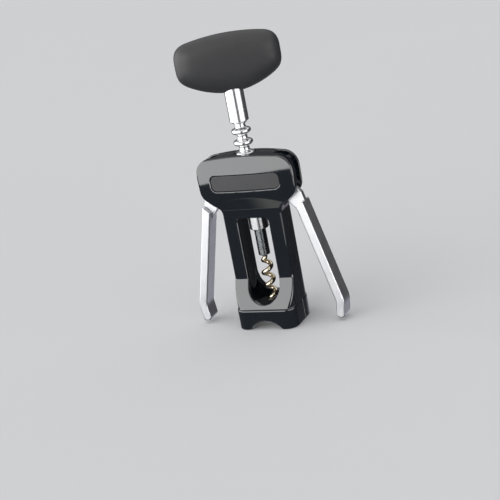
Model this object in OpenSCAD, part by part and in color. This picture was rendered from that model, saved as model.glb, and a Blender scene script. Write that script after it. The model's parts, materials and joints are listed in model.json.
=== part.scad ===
// Wing corkscrew: two half shells, two geared levers, a ring rack and a turning worm under a bar handle.
// Millimetres. The origin is on the worm's axis, on the plane that the base stands on.
// +Z is up and -Y is the front.

/* [Base] */
// Depth of the base, front to rear
base_d = 35; // [33:0.5:40]
// Rounding of the base's front corners, seen from above
base_front_r = 7; // [5:0.5:9]
// Rounding of the base's rear corners, seen from above
base_rear_r = 12; // [9:0.5:14]
// Height of the upright collar at the foot of the flare
collar_h = 12.8; // [11.5:0.1:14]
// Width of the ledge at the foot of the flare
ledge_w = 1.3; // [0.6:0.1:2]
// Height where the flare meets the tower
flare_top = 30; // [26:0.5:34]
// Width of the arch in the front and rear of the base
arch_w = 21.4; // [18:0.2:23]
// Height of the arch
arch_h = 5.7; // [4.6:0.1:7]
// Radius of the seating bore under the base
neck_r = 15.3; // [14.8:0.1:15.8]
// Depth of the seating bore under the base
neck_depth = 11; // [9:0.5:11.5]

/* [Tower] */
// Width of the tower and of the base
tower_w = 39.4; // [38.4:0.2:42]
// Depth of the tower
tower_d = 16.4; // [15.6:0.2:19]
// Rounding of the tower's upright edges
tower_edge_r = 2; // [1:0.25:3]
// Radius of the space that the drawn cork rises into
cork_r = 12.5; // [12:0.1:13]
// Width of the window
window_w = 21; // [19:0.5:23]
// Lowest point of the window's round end
window_low = 15.5; // [13.5:0.5:18]
// Height of the window
window_h = 54.5; // [50:0.5:60]
// Rounding of the window's upper corners
window_corner_r = 2.5; // [1:0.25:4]

/* [Head] */
// Height of the solid bridge above the window
bridge_h = 6; // [5.5:0.25:8]
// Width of the head
head_w = 64.4; // [63:0.2:68]
// Depth of the head in front of the parting plane, at its middle
head_front_d = 10.9; // [10.5:0.1:12.5]
// Depth of the head behind the parting plane, at its middle
head_rear_d = 9.4; // [9.2:0.1:12.5]
// Radius of the head's bowed front face
head_face_r = 185; // [160:5:260]
// Radius of the head's flatter rear face
head_rear_r = 390; // [260:10:500]
// Rise from the tower's corner to the head's lower corner
head_rise = 9; // [8.5:0.1:10.5]
// Height of the slope that thickens the tower into the head
head_step_h = 8.2; // [6:0.2:10]
// Height of the head's side, from lower corner to upper corner
head_side_h = 23; // [22.4:0.1:25]
// Crown of the head's top edge, middle above corners
head_crown = 3.6; // [2:0.1:4]
// Radius of the head's crowned top edge
head_crown_r = 160; // [100:5:180]
// Rounding of the head's upper corners
head_top_r = 10; // [7:0.25:11]
// Rounding of the head's lower corners
head_low_r = 8; // [6:0.25:10]
// Rounding where the head runs into the tower
head_neck_r = 6.5; // [4:0.25:8]
// Bow of the head's sides, middle beyond corners
head_bow = 0.4; // [0:0.1:1]

/* [Label plate] */
// Length of the bare plate
label_l = 45.4; // [38:0.2:48]
// Height of the bare plate
label_h = 9.8; // [8:0.2:12]
// Height of the plate's middle above the head's lower corner
label_rise = 8.7; // [7:0.1:10]
// Rounding of the plate's corners
label_r = 3.4; // [2:0.1:4]
// Depth of the recess that the plate lies in
label_recess = 1.1; // [0.8:0.05:1.6]
// Thickness of the plate
label_t = 0.6; // [0.4:0.05:0.7]

/* [Rack and gears] */
// Distance from ring to ring on the rack
ring_pitch = 7.2; // [6.9:0.05:7.4]
// Radius of the rings, the end collar and the bushes' bore, less the sliding fit
ring_r = 6; // [5.8:0.05:6.2]
// Radius of the rack between its rings
rack_root_r = 3.15; // [3:0.05:3.3]
// Thickness of a ring at the pitch line
ring_t = 3.3; // [3:0.05:3.4]
// Slope of the rings' flanks
flank_angle = 20; // [18:0.5:22]
// Number of rings above the pivots
rings_above = 5; // [5:1:7]
// Number of rings below the pivots, without the plain land
rings_below = 1; // [1:1:2]
// Number of teeth in a whole turn of the gear
gear_teeth = 12; // [12:1:13]
// Number of teeth that each lever carries
sector_teeth = 6; // [5:1:6]
// Height of the pivots above the head's lower corner
pivot_rise = 6.4; // [5.8:0.1:6.8]
// Neck of the rack above its top ring
rack_neck_h = 2.8; // [2:0.1:4]
// Length of the end collar under the rack
end_collar_l = 8.5; // [6:0.25:10]

/* [Levers] */
// Radius of the pivot pins
pin_r = 2; // [1.6:0.1:2.4]
// Length of the pivot pins
pin_l = 15; // [12:0.5:16]
// Radius of the lever's hub
hub_r = 8; // [6:0.5:9]
// Thickness of the lever's gear and hub
gear_d = 6; // [5:0.2:6.4]
// Thickness of the web between hub and arm
web_d = 4; // [3:0.2:5]
// Width of the web
web_w = 10.5; // [9:0.5:12]
// Distance of the arm's upper end out from the pivot
arm_out = 13; // [12.4:0.2:15]
// Drop of the arm's upper end below the pivot
arm_drop = 15.2; // [14.6:0.2:18]
// Lean of the arm out from upright
arm_lean = 13.8; // [11:0.2:16]
// Slant of the arm's upper end, its outer side higher
arm_cut = 31; // [0:1:40]
// Length of the arm, from its upper end to the bend
arm_l = 65; // [56:0.5:66]
// Thickness of the arm
arm_t = 5.4; // [4:0.1:6]
// Depth of the arm
arm_d = 11.6; // [8.6:0.2:13]
// Length of the bent tip
tip_l = 11; // [9:0.2:13]
// Inward bend of the tip
tip_bend = 21; // [10:1:30]
// Rounding of the bend on its inner side
bend_r = 10; // [4:0.5:14]
// Rounding of the tip's corners
tip_r = 2.2; // [1:0.1:2.4]

/* [Handle] */
// Turn of the handle about the worm's axis at rest
handle_turn = 25; // [0:1:90]
// Length of the handle
handle_w = 64; // [60:1:70]
// Depth of the handle
handle_d = 20.5; // [19:0.5:24]
// Height of the handle at its middle
handle_h = 36.6; // [35:0.2:42]
// Drop of the handle's upper corners below its top
handle_shoulder = 2.4; // [1:0.1:4]
// Rise of the handle's lower corners above its lowest point
handle_sweep = 7.4; // [6:0.1:9]
// Rounding of the handle's corners
handle_corner_r = 8.5; // [7:0.5:10]
// Length of the core inside the handle
core_w = 32; // [26:1:34]
// Depth of the core
core_d = 9; // [8:0.25:10]
// Height of the core
core_h = 20; // [16:0.5:22]
// Radius of the post under the handle
post_r = 5.9; // [5.4:0.05:6]
// Length of the post that shows
post_show = 17.9; // [14:0.1:22]
// Length of the post inside the handle
post_seat = 5.5; // [4:0.25:7]
// Bevel of the post's lower edge
post_bevel = 0.7; // [0.3:0.1:1]
// Thickness of the washer between post and rack
washer_t = 0.7; // [0.5:0.1:1.2]
// Radius of the washer
washer_r = 4.4; // [3.6:0.1:5]
// Radius of the cross pins
cross_pin_r = 1; // [0.8:0.05:1.2]
// Depth that the shank's cross pin lies below its surface
pin_sink = 0.2; // [0.15:0.05:0.5]

/* [Screw] */
// Radius of the spindle
spindle_r = 2; // [1.7:0.05:2.1]
// Length of the spindle inside the core
spindle_seat = 14; // [11:0.5:15]
// Radius of the shank
shank_r = 3.65; // [3.4:0.05:4]
// Length of the shank
shank_l = 17.5; // [15:0.5:20]
// Length of the spindle inside the shank
spindle_grip = 8; // [6:0.5:9]
// Outer radius of the worm
worm_r = 4.2; // [3.6:0.05:4.6]
// Radius of the worm's wire
wire_r = 1.5; // [1.2:0.05:1.6]
// Rise of one turn of the worm
worm_pitch = 8.7; // [8:0.1:9.6]
// Number of turns of the worm
worm_turns = 3.5; // [3:0.1:3.7]
// Angle of the worm's start about the axis, from the handle's length
worm_start = -103; // [-180:1:180]
// Length of the worm's stem inside the shank
stem_l = 6; // [4:0.25:7]

/* [Fastenings] */
// Radius of the shell screws
screw_r = 1.3; // [1:0.1:1.5]
// Radius of the screws' heads
screw_head_r = 2.4; // [2:0.1:2.6]
// Thickness of the screws' heads
screw_head_t = 1.8; // [1.2:0.1:2.4]
// Depth that the heads lie below the rear face
screw_sink = 0.8; // [0.5:0.1:1.2]
// Length of the screws under their heads
screw_l = 10; // [8:0.5:11]
// Distance of the upper screws in from the middle of the tower's side walls
bridge_screw_in = 2.6; // [2:0.1:3]
// Height of the upper screws above the window
bridge_screw_rise = 3.6; // [3.2:0.1:4]
// Height of the lower screws above the flare
tower_screw_rise = 8; // [4:0.5:20]
// Length of the cross cut in the screws' heads
drive_l = 3.2; // [2.4:0.1:3.6]
// Width of the cross cut in the screws' heads
drive_w = 0.7; // [0.5:0.05:1]
// Depth of the cross cut in the screws' heads
drive_depth = 0.9; // [0.5:0.1:1]
// Wall of the bushes
bush_wall = 1.1; // [0.9:0.1:1.2]
// Length of the upper bush
top_bush_l = 5; // [4:0.25:5.5]
// Length of the lower bush
low_bush_l = 4; // [3:0.25:4.5]
// Thickness of the shell that keeps each bush in place
bush_lip = 1.6; // [1.2:0.1:2]

/* [Clearances] */
// Radial gap of a turning fit
turn_fit = 0.05; // [0.03:0.01:0.09]
// Radial gap of a seated pin or bush
seat_fit = 0.02; // [0.01:0.01:0.05]
// Radial gap of the rack in its bushes
slide_fit = 0.08; // [0.05:0.01:0.1]
// Gap on each side of the levers' webs in their slots
slot_gap = 0.5; // [0.3:0.05:0.7]
// Room around the sweep of the gears and webs
sweep_gap = 0.7; // [0.4:0.05:0.9]
// Room around the rack inside the shells
rack_gap = 0.6; // [0.4:0.05:1]
// Gap around the screws' heads
screw_gap = 0.15; // [0.1:0.05:0.3]
// Gap around the label plate
label_gap = 0.15; // [0.1:0.05:0.3]
// Radial gap between gear tips and rack, and between rings and gear roots
tip_gap = 0.35; // [0.3:0.05:0.5]
// Largest swing of the levers
swing = 117; // [110:1:118]

/* [Hidden] */
$fn = 64;
// Overshoot of cutting shapes past the faces they cut
over = 1;
// Points along each rounded corner of an outline
corner_steps = 8;
// Straight steps across a fan-shaped outline
fan_steps = 6;
// Knobs along each half of the handle's top and bottom edges
grip_steps = 3;

// Heights of the body, from the base up
window_top = window_low + window_h;
tower_top = window_top + bridge_h;
head_low = tower_top + head_rise;
head_top = head_low + head_side_h;
crown_top = head_top + head_crown;
pivot_z = head_low + pivot_rise;

// Gear and rack sizes, from the rings
pitch_r = gear_teeth * ring_pitch / (2 * PI);
rack_pitch_r = (ring_r + rack_root_r) / 2;
tooth_reach = (ring_r - rack_root_r) / 2;
pivot_x = pitch_r + rack_pitch_r;
gear_tip_r = pitch_r + tooth_reach - tip_gap;
gear_root_r = pitch_r - tooth_reach - tip_gap;
gear_base_r = pitch_r * cos(flank_angle);
flank_steps = 6;

// Heights of the rack, the post and the handle
low_ring_z = pivot_z - (rings_below + 0.5) * ring_pitch;
high_ring_z = pivot_z + (rings_above - 0.5) * ring_pitch;
ring_root_half = ring_t / 2 + tooth_reach * tan(flank_angle);
ring_tip_half = ring_t / 2 - tooth_reach * tan(flank_angle);
rack_top = high_ring_z + ring_root_half + rack_neck_h;
rack_low = window_top;
end_collar_low = rack_low - end_collar_l;
post_low = rack_top + washer_t;
handle_low = post_low + post_show;
handle_top = handle_low + handle_h;
core_low = handle_low + post_seat;
spindle_top = core_low + spindle_seat;
shank_low = end_collar_low - shank_l;
spindle_low = end_collar_low - spindle_grip;
bush_bore_r = ring_r + slide_fit;
bush_r = bush_bore_r + bush_wall;
channel_r = ring_r + rack_gap;
top_bush_high = head_top - bush_lip;
low_bush_low = window_top + bush_lip;
slot_w = gear_d + 2 * slot_gap;

// Places of the shell screws: two in the bridge and two in the tower's side walls
side_wall_mid = (tower_w / 2 + cork_r) / 2;
bridge_screw = [side_wall_mid - bridge_screw_in, window_top + bridge_screw_rise];
tower_screw = [side_wall_mid, flare_top + tower_screw_rise];
screw_places = [for (s = [-1, 1], p = [bridge_screw, tower_screw]) [s * p[0], p[1]]];
screw_seat_y = tower_d / 2 - screw_sink - screw_head_t;

// Lever points about the pivot, for the right lever
arm_top = [arm_out, -arm_drop];
arm_bend = arm_top + arm_l * [sin(arm_lean), -cos(arm_lean)];
tip_lean = arm_lean - tip_bend;
arm_tip = arm_bend + tip_l * [sin(tip_lean), -cos(tip_lean)];
web_angle = atan2(-arm_drop, arm_out);
web_l = norm(arm_top);

// Unit vector along a direction
function unit(v) = v / norm(v);

// Point at a distance and an angle
function polar(r, a) = [r * cos(a), r * sin(a)];

// Arc of a rounded corner at b, between the corners a and c
function corner_arc(a, b, c, r) =
    let (
        u = unit(a - b),
        w = unit(c - b),
        half = acos(u * w) / 2,
        mid = b + unit(u + w) * r / sin(half),
        from = b + u * r / tan(half) - mid,
        to = b + w * r / tan(half) - mid,
        start = atan2(from[1], from[0]),
        turn = (atan2(to[1], to[0]) - start + 540) % 360 - 180
    )
    [for (i = [0 : corner_steps]) mid + polar(r, start + turn * i / corner_steps)];

// Closed outline through corners given as [x, y, radius]
function rounded(corners) =
    let (n = len(corners), at = function (i) [corners[i % n][0], corners[i % n][1]])
    [for (i = [0 : n - 1])
        each corners[i][2] == 0
            ? [at(i)]
            : corner_arc(at(i + n - 1), at(i), at(i + 1), corners[i][2])];

// Point of an involute at radius r, turned so that the tooth's middle lies along +X
function flank(r, side) =
    let (
        roll = function (q) let (a = acos(min(1, gear_base_r / q))) tan(a) * 180 / PI - a,
        half = ring_t / 2 / pitch_r * 180 / PI
    )
    polar(r, side * (half + roll(pitch_r) - roll(max(r, gear_base_r))));

// Outline of one gear tooth along +X, rooted inside the gear's body
function tooth() =
    let (radii = [for (i = [0 : flank_steps]) gear_base_r + (gear_tip_r - gear_base_r) * i / flank_steps])
    concat(
        [flank(gear_root_r - over, -1)],
        [for (r = radii) flank(r, -1)],
        [for (i = [flank_steps : -1 : 0]) flank(radii[i], 1)],
        [flank(gear_root_r - over, 1)]);

// Shape drawn in X and Z, given depth along Y about the middle plane
module along_y(depth) {
    rotate([90, 0, 0]) linear_extrude(depth, center = true) children();
}

// Shape drawn in Y and Z, given width along X about the middle plane
module along_x(width) {
    rotate([90, 0, 90]) linear_extrude(width, center = true) children();
}

// Flat rectangle about its middle with true round corners
module round_rect(w, d, r) {
    square([w - 2 * r, d], center = true);
    square([w, d - 2 * r], center = true);
    for (x = [-1, 1], y = [-1, 1]) translate([x * (w / 2 - r), y * (d / 2 - r)]) circle(r);
}

// Body

// Front view of the body
module body_outline() {
    right = [
        [0, crown_top, head_crown_r],
        [head_w / 2 - head_bow, head_top, head_top_r],
        [head_w / 2, (head_low + head_top) / 2, 0],
        [head_w / 2 - head_bow, head_low, head_low_r],
        [tower_w / 2, tower_top, head_neck_r],
        [tower_w / 2, 0, 0]
    ];
    left = [for (i = [len(right) - 1 : -1 : 1]) [-right[i][0], right[i][1], right[i][2]]];
    polygon(rounded(concat(right, left)));
}

// Head seen from above: bowed front and rear faces
module head_plan() {
    intersection() {
        translate([0, head_face_r - head_front_d]) circle(head_face_r, $fn = 128);
        translate([0, head_rear_d - head_rear_r]) circle(head_rear_r, $fn = 256);
    }
}

// Depth of the head over its height
module head_profile() {
    polygon([
        [-tower_d / 2, tower_top],
        [-head_front_d, tower_top + head_step_h],
        [-head_front_d, crown_top + over],
        [head_front_d, crown_top + over],
        [head_front_d, tower_top + head_step_h],
        [tower_d / 2, tower_top]
    ]);
}

// Base seen from above, drawn in from its front and rear by a step
module base_plan(step) {
    x = tower_w / 2;
    y = base_d / 2 - step;
    polygon(rounded([
        [-x, -y, base_front_r],
        [x, -y, base_front_r],
        [x, y, base_rear_r],
        [-x, y, base_rear_r]
    ]));
}

// Depth of the flare over its height
module flare_profile() {
    ledge_y = base_d / 2 - ledge_w;
    polygon([
        [-ledge_y, 0],
        [-ledge_y, collar_h],
        [-tower_d / 2, flare_top],
        [tower_d / 2, flare_top],
        [ledge_y, collar_h],
        [ledge_y, 0]
    ]);
}

// Window seen from the front
module window_outline() {
    end_r = window_w / 2;
    translate([0, window_low + end_r]) circle(end_r);
    polygon(rounded([
        [-end_r, window_low + end_r, 0],
        [end_r, window_low + end_r, 0],
        [end_r, window_top, window_corner_r],
        [-end_r, window_top, window_corner_r]
    ]));
}

// Sweep of one lever's gear and web inside the head
module sweep_outline() {
    half = web_w / 2 + sweep_gap;
    reach = head_w;
    low = web_angle;
    high = web_angle + swing;
    translate([pivot_x, pivot_z]) {
        circle(gear_tip_r + sweep_gap);
        polygon(concat(
            [polar(half, low - 90), polar(reach, low) + polar(half, low - 90)],
            [for (i = [0 : fan_steps]) polar(reach, low + (high - low) * i / fan_steps)],
            [polar(reach, high) + polar(half, high + 90), polar(half, high + 90)]));
    }
}

// Rounded plate standing on the head's front face, grown by a gap
module label_prism(gap) {
    translate([0, -head_front_d, head_low + label_rise]) along_y(head_front_d)
        round_rect(label_l + 2 * gap, label_h + 2 * gap, label_r + gap);
}

// Layer of the head's front face, between two depths below it
module face_layer(from, to) {
    translate([0, head_face_r - head_front_d, head_low]) difference() {
        cylinder(h = head_side_h, r = head_face_r - from, $fn = 128);
        translate([0, 0, -over]) cylinder(h = head_side_h + 2 * over, r = head_face_r - to, $fn = 128);
    }
}

// Whole body before it is split, with its hollows
module body() {
    arch_r = (pow(arch_w / 2, 2) + pow(arch_h, 2)) / (2 * arch_h);
    difference() {
        intersection() {
            along_y(base_d + over) body_outline();
            union() {
                intersection() {
                    along_x(head_w) head_profile();
                    translate([0, 0, tower_top]) linear_extrude(crown_top - tower_top) head_plan();
                }
                linear_extrude(tower_top) round_rect(tower_w, tower_d, tower_edge_r);
                linear_extrude(collar_h) base_plan(0);
                intersection() {
                    linear_extrude(flare_top) base_plan(ledge_w);
                    along_x(tower_w) flare_profile();
                }
            }
        }
        translate([0, 0, -over]) cylinder(h = neck_depth + over, r = neck_r);
        cylinder(h = window_top, r = cork_r);
        along_y(base_d + over) window_outline();
        translate([0, 0, arch_h - arch_r]) along_y(base_d + over) circle(arch_r);
        translate([0, 0, window_top - over]) cylinder(h = crown_top - window_top + 2 * over, r = channel_r);
        translate([0, 0, low_bush_low]) cylinder(h = low_bush_l, r = bush_r + seat_fit);
        translate([0, 0, top_bush_high - top_bush_l]) cylinder(h = top_bush_l, r = bush_r + seat_fit);
        along_y(slot_w) {
            sweep_outline();
            mirror([1, 0]) sweep_outline();
        }
        for (s = [-1, 1])
            translate([s * pivot_x, 0, pivot_z]) along_y(pin_l + 2 * seat_fit) circle(pin_r + seat_fit);
        for (p = screw_places) screw_at(p) {
            translate([0, 0, -screw_l]) cylinder(h = screw_l + over, r = screw_r + seat_fit);
            cylinder(h = tower_d, r = screw_head_r + screw_gap);
        }
    }
}

// Half of space in front of (-1) or behind (1) the middle plane
module half_space(side) {
    size = 2 * crown_top;
    translate([-size / 2, side < 0 ? -size : 0, -over]) cube([size, size, size]);
}

module front_shell() {
    color([0.12, 0.13, 0.15]) difference() {
        intersection() {
            body();
            half_space(-1);
        }
        intersection() {
            label_prism(label_gap);
            face_layer(-over, label_recess);
        }
    }
}

module rear_shell() {
    color([0.11, 0.12, 0.14]) intersection() {
        body();
        half_space(1);
    }
}

module label_plate() {
    color([0.3, 0.3, 0.32]) intersection() {
        label_prism(0);
        face_layer(label_recess - label_t, label_recess);
    }
}

// Frame of one screw: origin under its head, head towards +Z, which points to the rear
module screw_at(p) {
    translate([p[0], screw_seat_y, p[1]]) rotate([-90, 0, 0]) children();
}

module shell_screws() {
    color([0.6, 0.6, 0.62]) for (p = screw_places) screw_at(p) difference() {
        union() {
            translate([0, 0, -screw_l]) cylinder(h = screw_l, r = screw_r);
            cylinder(h = screw_head_t, r = screw_head_r);
        }
        for (a = [0, 90]) rotate(a) translate([-drive_l / 2, -drive_w / 2, screw_head_t - drive_depth])
            cube([drive_l, drive_w, drive_depth + over]);
    }
}

// Guide ring for the rack
module bush(low, length) {
    translate([0, 0, low]) difference() {
        cylinder(h = length, r = bush_r);
        translate([0, 0, -over]) cylinder(h = length + 2 * over, r = bush_bore_r);
    }
}

module top_bush() {
    color([0.2, 0.2, 0.22]) bush(top_bush_high - top_bush_l, top_bush_l);
}

module lower_bush() {
    color([0.2, 0.2, 0.22]) bush(low_bush_low, low_bush_l);
}

module pivot_pin(side) {
    color([0.7, 0.7, 0.72]) translate([side * pivot_x, 0, pivot_z]) along_y(pin_l) circle(pin_r);
}

module left_pivot_pin() {
    pivot_pin(-1);
}

module right_pivot_pin() {
    pivot_pin(1);
}

// Levers

// Toothed sector over the pivot, with its hub, about the pivot
module sector_outline() {
    step = 360 / gear_teeth;
    first = 180 + step;
    last = first - (sector_teeth - 1) * step;
    span = sector_teeth * step;
    fan = [for (i = [0 : fan_steps]) polar(2 * pitch_r, last - step / 2 + span * i / fan_steps)];
    circle(hub_r);
    intersection() {
        circle(gear_root_r);
        polygon(concat([[0, 0]], fan));
    }
    for (i = [0 : sector_teeth - 1]) rotate(first - i * step) polygon(tooth());
}

// Web from the pivot into the arm, cut off at the arm's outer face, about the pivot
module web_outline() {
    intersection() {
        rotate(web_angle) translate([0, -web_w / 2]) square([web_l + arm_t, web_w]);
        translate(arm_top) rotate(arm_lean - 90) translate([-web_l, arm_t / 2 - web_l])
            square([2 * web_l, web_l]);
    }
}

// Arm with its slanted upper end, its bend and its round-cornered tip, about the pivot
module arm_outline() {
    half = arm_t / 2;
    out = polar(half, arm_lean);
    tip_out = polar(half, tip_lean);
    miter = unit(out + tip_out) * half / cos(tip_bend / 2);
    slant = polar(half * tan(arm_cut), arm_lean - 90);
    corners = [
        [arm_top - out + slant, 0],
        [arm_bend - miter, bend_r],
        [arm_tip - tip_out, tip_r],
        [arm_tip + tip_out, tip_r],
        [arm_bend + miter, bend_r + arm_t],
        [arm_top + out - slant, 0]
    ];
    polygon(rounded([for (c = corners) [each c[0], c[1]]]));
}

// Right lever: gear, hub and web in the slot, and the deeper arm outside
module lever() {
    translate([pivot_x, 0, pivot_z]) difference() {
        union() {
            along_y(gear_d) sector_outline();
            along_y(web_d) web_outline();
            along_y(arm_d) arm_outline();
        }
        along_y(gear_d + 2 * over) circle(pin_r + turn_fit);
    }
}

module left_lever() {
    color([0.85, 0.85, 0.87]) mirror([1, 0, 0]) lever();
}

module right_lever() {
    color([0.85, 0.85, 0.87]) lever();
}

// Rack

// Ring rack: a plain land at the foot, then the rings, then the neck
module ring_rack() {
    rings = [for (k = [1 : rings_above + rings_below]) low_ring_z + k * ring_pitch];
    outside = concat(
        [
            [ring_r, rack_low],
            [ring_r, low_ring_z + ring_tip_half],
            [rack_root_r, low_ring_z + ring_root_half]
        ],
        [for (z = rings) each [
            [rack_root_r, z - ring_root_half],
            [ring_r, z - ring_tip_half],
            [ring_r, z + ring_tip_half],
            [rack_root_r, z + ring_root_half]
        ]]);
    bore = spindle_r + turn_fit;
    color([0.85, 0.85, 0.87]) rotate_extrude()
        polygon(concat([[bore, rack_low]], outside, [[rack_root_r, rack_top], [bore, rack_top]]));
}

module end_collar() {
    color([0.85, 0.85, 0.87]) translate([0, 0, end_collar_low]) difference() {
        cylinder(h = end_collar_l, r = ring_r);
        translate([0, 0, -over]) cylinder(h = end_collar_l + 2 * over, r = spindle_r + turn_fit);
    }
}

module thrust_washer() {
    color([0.7, 0.7, 0.72]) translate([0, 0, rack_top]) difference() {
        cylinder(h = washer_t, r = washer_r);
        translate([0, 0, -over]) cylinder(h = washer_t + 2 * over, r = spindle_r + turn_fit);
    }
}

// Handle and screw

module handle_post() {
    length = post_show + post_seat;
    color([0.85, 0.85, 0.87]) translate([0, 0, post_low]) rotate_extrude() polygon([
        [spindle_r + seat_fit, 0],
        [post_r - post_bevel, 0],
        [post_r, post_bevel],
        [post_r, length],
        [spindle_r + seat_fit, length]
    ]);
}

// Block that fills the handle's cavity
module core_block() {
    translate([0, 0, core_low + core_h / 2]) cube([core_w, core_d, core_h], center = true);
}

// Bore of the cross pin in the handle
module handle_pin_bore(length, r) {
    translate([0, 0, core_low + spindle_seat / 2]) along_y(length) circle(r);
}

module handle_core() {
    color([0.25, 0.25, 0.26]) rotate(handle_turn) difference() {
        core_block();
        translate([0, 0, core_low - over]) cylinder(h = spindle_seat + over, r = spindle_r + seat_fit);
        handle_pin_bore(core_d + over, cross_pin_r + seat_fit);
    }
}

// Rounded knob of the handle's surface, touching the outline from inside
module grip_knob(x, z) {
    translate([x, 0, z]) scale([1, handle_d / (2 * handle_corner_r), 1]) sphere(handle_corner_r, $fn = 28);
}

module handle_grip() {
    end_x = handle_w / 2 - handle_corner_r;
    mid_low = handle_low + handle_corner_r;
    mid_top = handle_top - handle_corner_r;
    color([0.27, 0.27, 0.28]) rotate(handle_turn) difference() {
        hull() for (i = [-grip_steps : grip_steps]) {
            share = i / grip_steps;
            grip_knob(share * end_x, mid_top - handle_shoulder * share * share);
            grip_knob(share * end_x, mid_low + handle_sweep * share * share);
        }
        core_block();
        translate([0, 0, handle_low - over]) cylinder(h = post_seat + over, r = post_r + seat_fit);
    }
}

module handle_pin() {
    color([0.7, 0.7, 0.72]) rotate(handle_turn) handle_pin_bore(core_d, cross_pin_r);
}

module spindle() {
    color([0.65, 0.65, 0.67]) rotate(handle_turn) difference() {
        translate([0, 0, spindle_low]) cylinder(h = spindle_top - spindle_low, r = spindle_r);
        handle_pin_bore(4 * spindle_r, cross_pin_r + seat_fit);
        shank_pin_bore(4 * spindle_r, cross_pin_r + seat_fit);
    }
}

// Bore of the cross pin in the shank
module shank_pin_bore(length, r) {
    translate([0, 0, (end_collar_low + spindle_low) / 2]) along_y(length) circle(r);
}

module shank() {
    color([0.6, 0.6, 0.62]) rotate(handle_turn) difference() {
        translate([0, 0, shank_low]) cylinder(h = shank_l, r = shank_r);
        translate([0, 0, spindle_low]) cylinder(h = spindle_grip + over, r = spindle_r + seat_fit);
        translate([0, 0, shank_low - over]) cylinder(h = stem_l + over, r = wire_r + seat_fit);
        shank_pin_bore(4 * shank_r, cross_pin_r + seat_fit);
    }
}

module shank_pin() {
    color([0.7, 0.7, 0.72]) rotate(handle_turn) shank_pin_bore(2 * (shank_r - pin_sink), cross_pin_r);
}

// Rings of points in each turn of the worm, and points in each ring
turn_steps = 24;
wire_sides = 10;
// Turns over which the wire spreads from the axis to the coil, and over which it runs out to its point
spread_turns = 0.5;
point_turns = 0.6;
// Size of the wire's blunt end, as a share of the wire
point_share = 0.12;
coil_r = worm_r - wire_r;

// Smooth step from 0 to 1
function ease(x) = let (c = min(1, max(0, x))) c * c * (3 - 2 * c);

// Direction, middle and size of the wire: t is below 0 in the stem and ends at the number of turns
function wire_turn(t) = handle_turn + worm_start - 360 * t;
function wire_at(t) =
    let (flat = polar(coil_r * ease(t / spread_turns), wire_turn(t)))
    [flat[0], flat[1], shank_low - wire_r - worm_pitch * t];
function wire_size(t) = wire_r * max(point_share, sqrt(min(1, (worm_turns - t) / point_turns)));

// Ring of points round the wire's path
function wire_ring(t) =
    let (
        step = 0.01,
        dir = unit(wire_at(t + step) - wire_at(t - step)),
        flat = polar(1, wire_turn(t)),
        out = [flat[0], flat[1], 0],
        side = unit(out - (out * dir) * dir),
        up = cross(side, dir),
        size = wire_size(t)
    )
    [for (j = [0 : wire_sides - 1])
        wire_at(t) + size * (cos(360 * j / wire_sides) * side + sin(360 * j / wire_sides) * up)];

module worm() {
    stem_turns = (stem_l + wire_r) / worm_pitch;
    rows = round((worm_turns + stem_turns) * turn_steps);
    rings = [for (i = [0 : rows]) wire_ring(-stem_turns + (worm_turns + stem_turns) * i / rows)];
    at = function (i, j) i * wire_sides + j % wire_sides;
    sides = [for (i = [0 : rows - 1], j = [0 : wire_sides - 1]) each [
        [at(i, j), at(i, j + 1), at(i + 1, j)],
        [at(i, j + 1), at(i + 1, j + 1), at(i + 1, j)]
    ]];
    caps = [for (j = [1 : wire_sides - 2]) each [
        [at(0, 0), at(0, j + 1), at(0, j)],
        [at(rows, 0), at(rows, j), at(rows, j + 1)]
    ]];
    color([0.85, 0.8, 0.68]) polyhedron([for (ring = rings) each ring], concat(sides, caps));
}

front_shell();
rear_shell();
label_plate();
shell_screws();
top_bush();
lower_bush();
left_pivot_pin();
right_pivot_pin();
left_lever();
right_lever();
ring_rack();
end_collar();
thrust_washer();
handle_post();
handle_core();
handle_grip();
handle_pin();
spindle();
shank();
shank_pin();
worm();
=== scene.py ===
"""Looks of a two-lever wing corkscrew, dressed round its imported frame.

Sizes are in metres, in the frame of the part: +Z runs up the worm's axis and -Y is the front.
Moulded and cast pieces are distance fields, negative inside, that a surface net turns into meshes.
Turned pieces are profiles swept round the axis, and the worm is a tube along its wire.
"""

import json
import logging
import math
from collections.abc import Callable, Iterator, Sequence
from dataclasses import dataclass, replace
from enum import Enum
from itertools import product

import bpy
import numpy as np
from mathutils import Matrix, Vector


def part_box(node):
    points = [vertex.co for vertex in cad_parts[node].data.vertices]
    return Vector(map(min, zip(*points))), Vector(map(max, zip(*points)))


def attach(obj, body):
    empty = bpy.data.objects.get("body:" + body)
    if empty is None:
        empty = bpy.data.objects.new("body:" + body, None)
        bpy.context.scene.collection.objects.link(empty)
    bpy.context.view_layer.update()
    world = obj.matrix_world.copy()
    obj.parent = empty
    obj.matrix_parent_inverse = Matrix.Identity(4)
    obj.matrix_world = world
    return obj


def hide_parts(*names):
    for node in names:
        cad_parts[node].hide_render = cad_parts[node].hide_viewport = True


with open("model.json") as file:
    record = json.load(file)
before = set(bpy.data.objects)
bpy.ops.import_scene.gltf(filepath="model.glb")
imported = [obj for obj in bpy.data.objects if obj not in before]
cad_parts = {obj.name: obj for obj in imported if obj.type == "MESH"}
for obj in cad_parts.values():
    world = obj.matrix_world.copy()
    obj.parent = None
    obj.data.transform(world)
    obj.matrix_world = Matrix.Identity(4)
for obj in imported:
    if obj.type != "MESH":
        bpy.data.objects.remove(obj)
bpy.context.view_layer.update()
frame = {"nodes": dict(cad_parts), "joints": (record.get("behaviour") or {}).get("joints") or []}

Array = np.ndarray
Field = Callable[[Array, Array, Array], Array]
Colour = tuple[float, float, float]
Mesh = bpy.types.Mesh
Socket = bpy.types.NodeSocket
log = logging.getLogger("corkscrew")

MM = 0.001
# Steps along a rounded edge of a turned piece, and segments of its turn
TURNED_STEPS = 6
TURNED_SEGMENTS = 128
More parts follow.
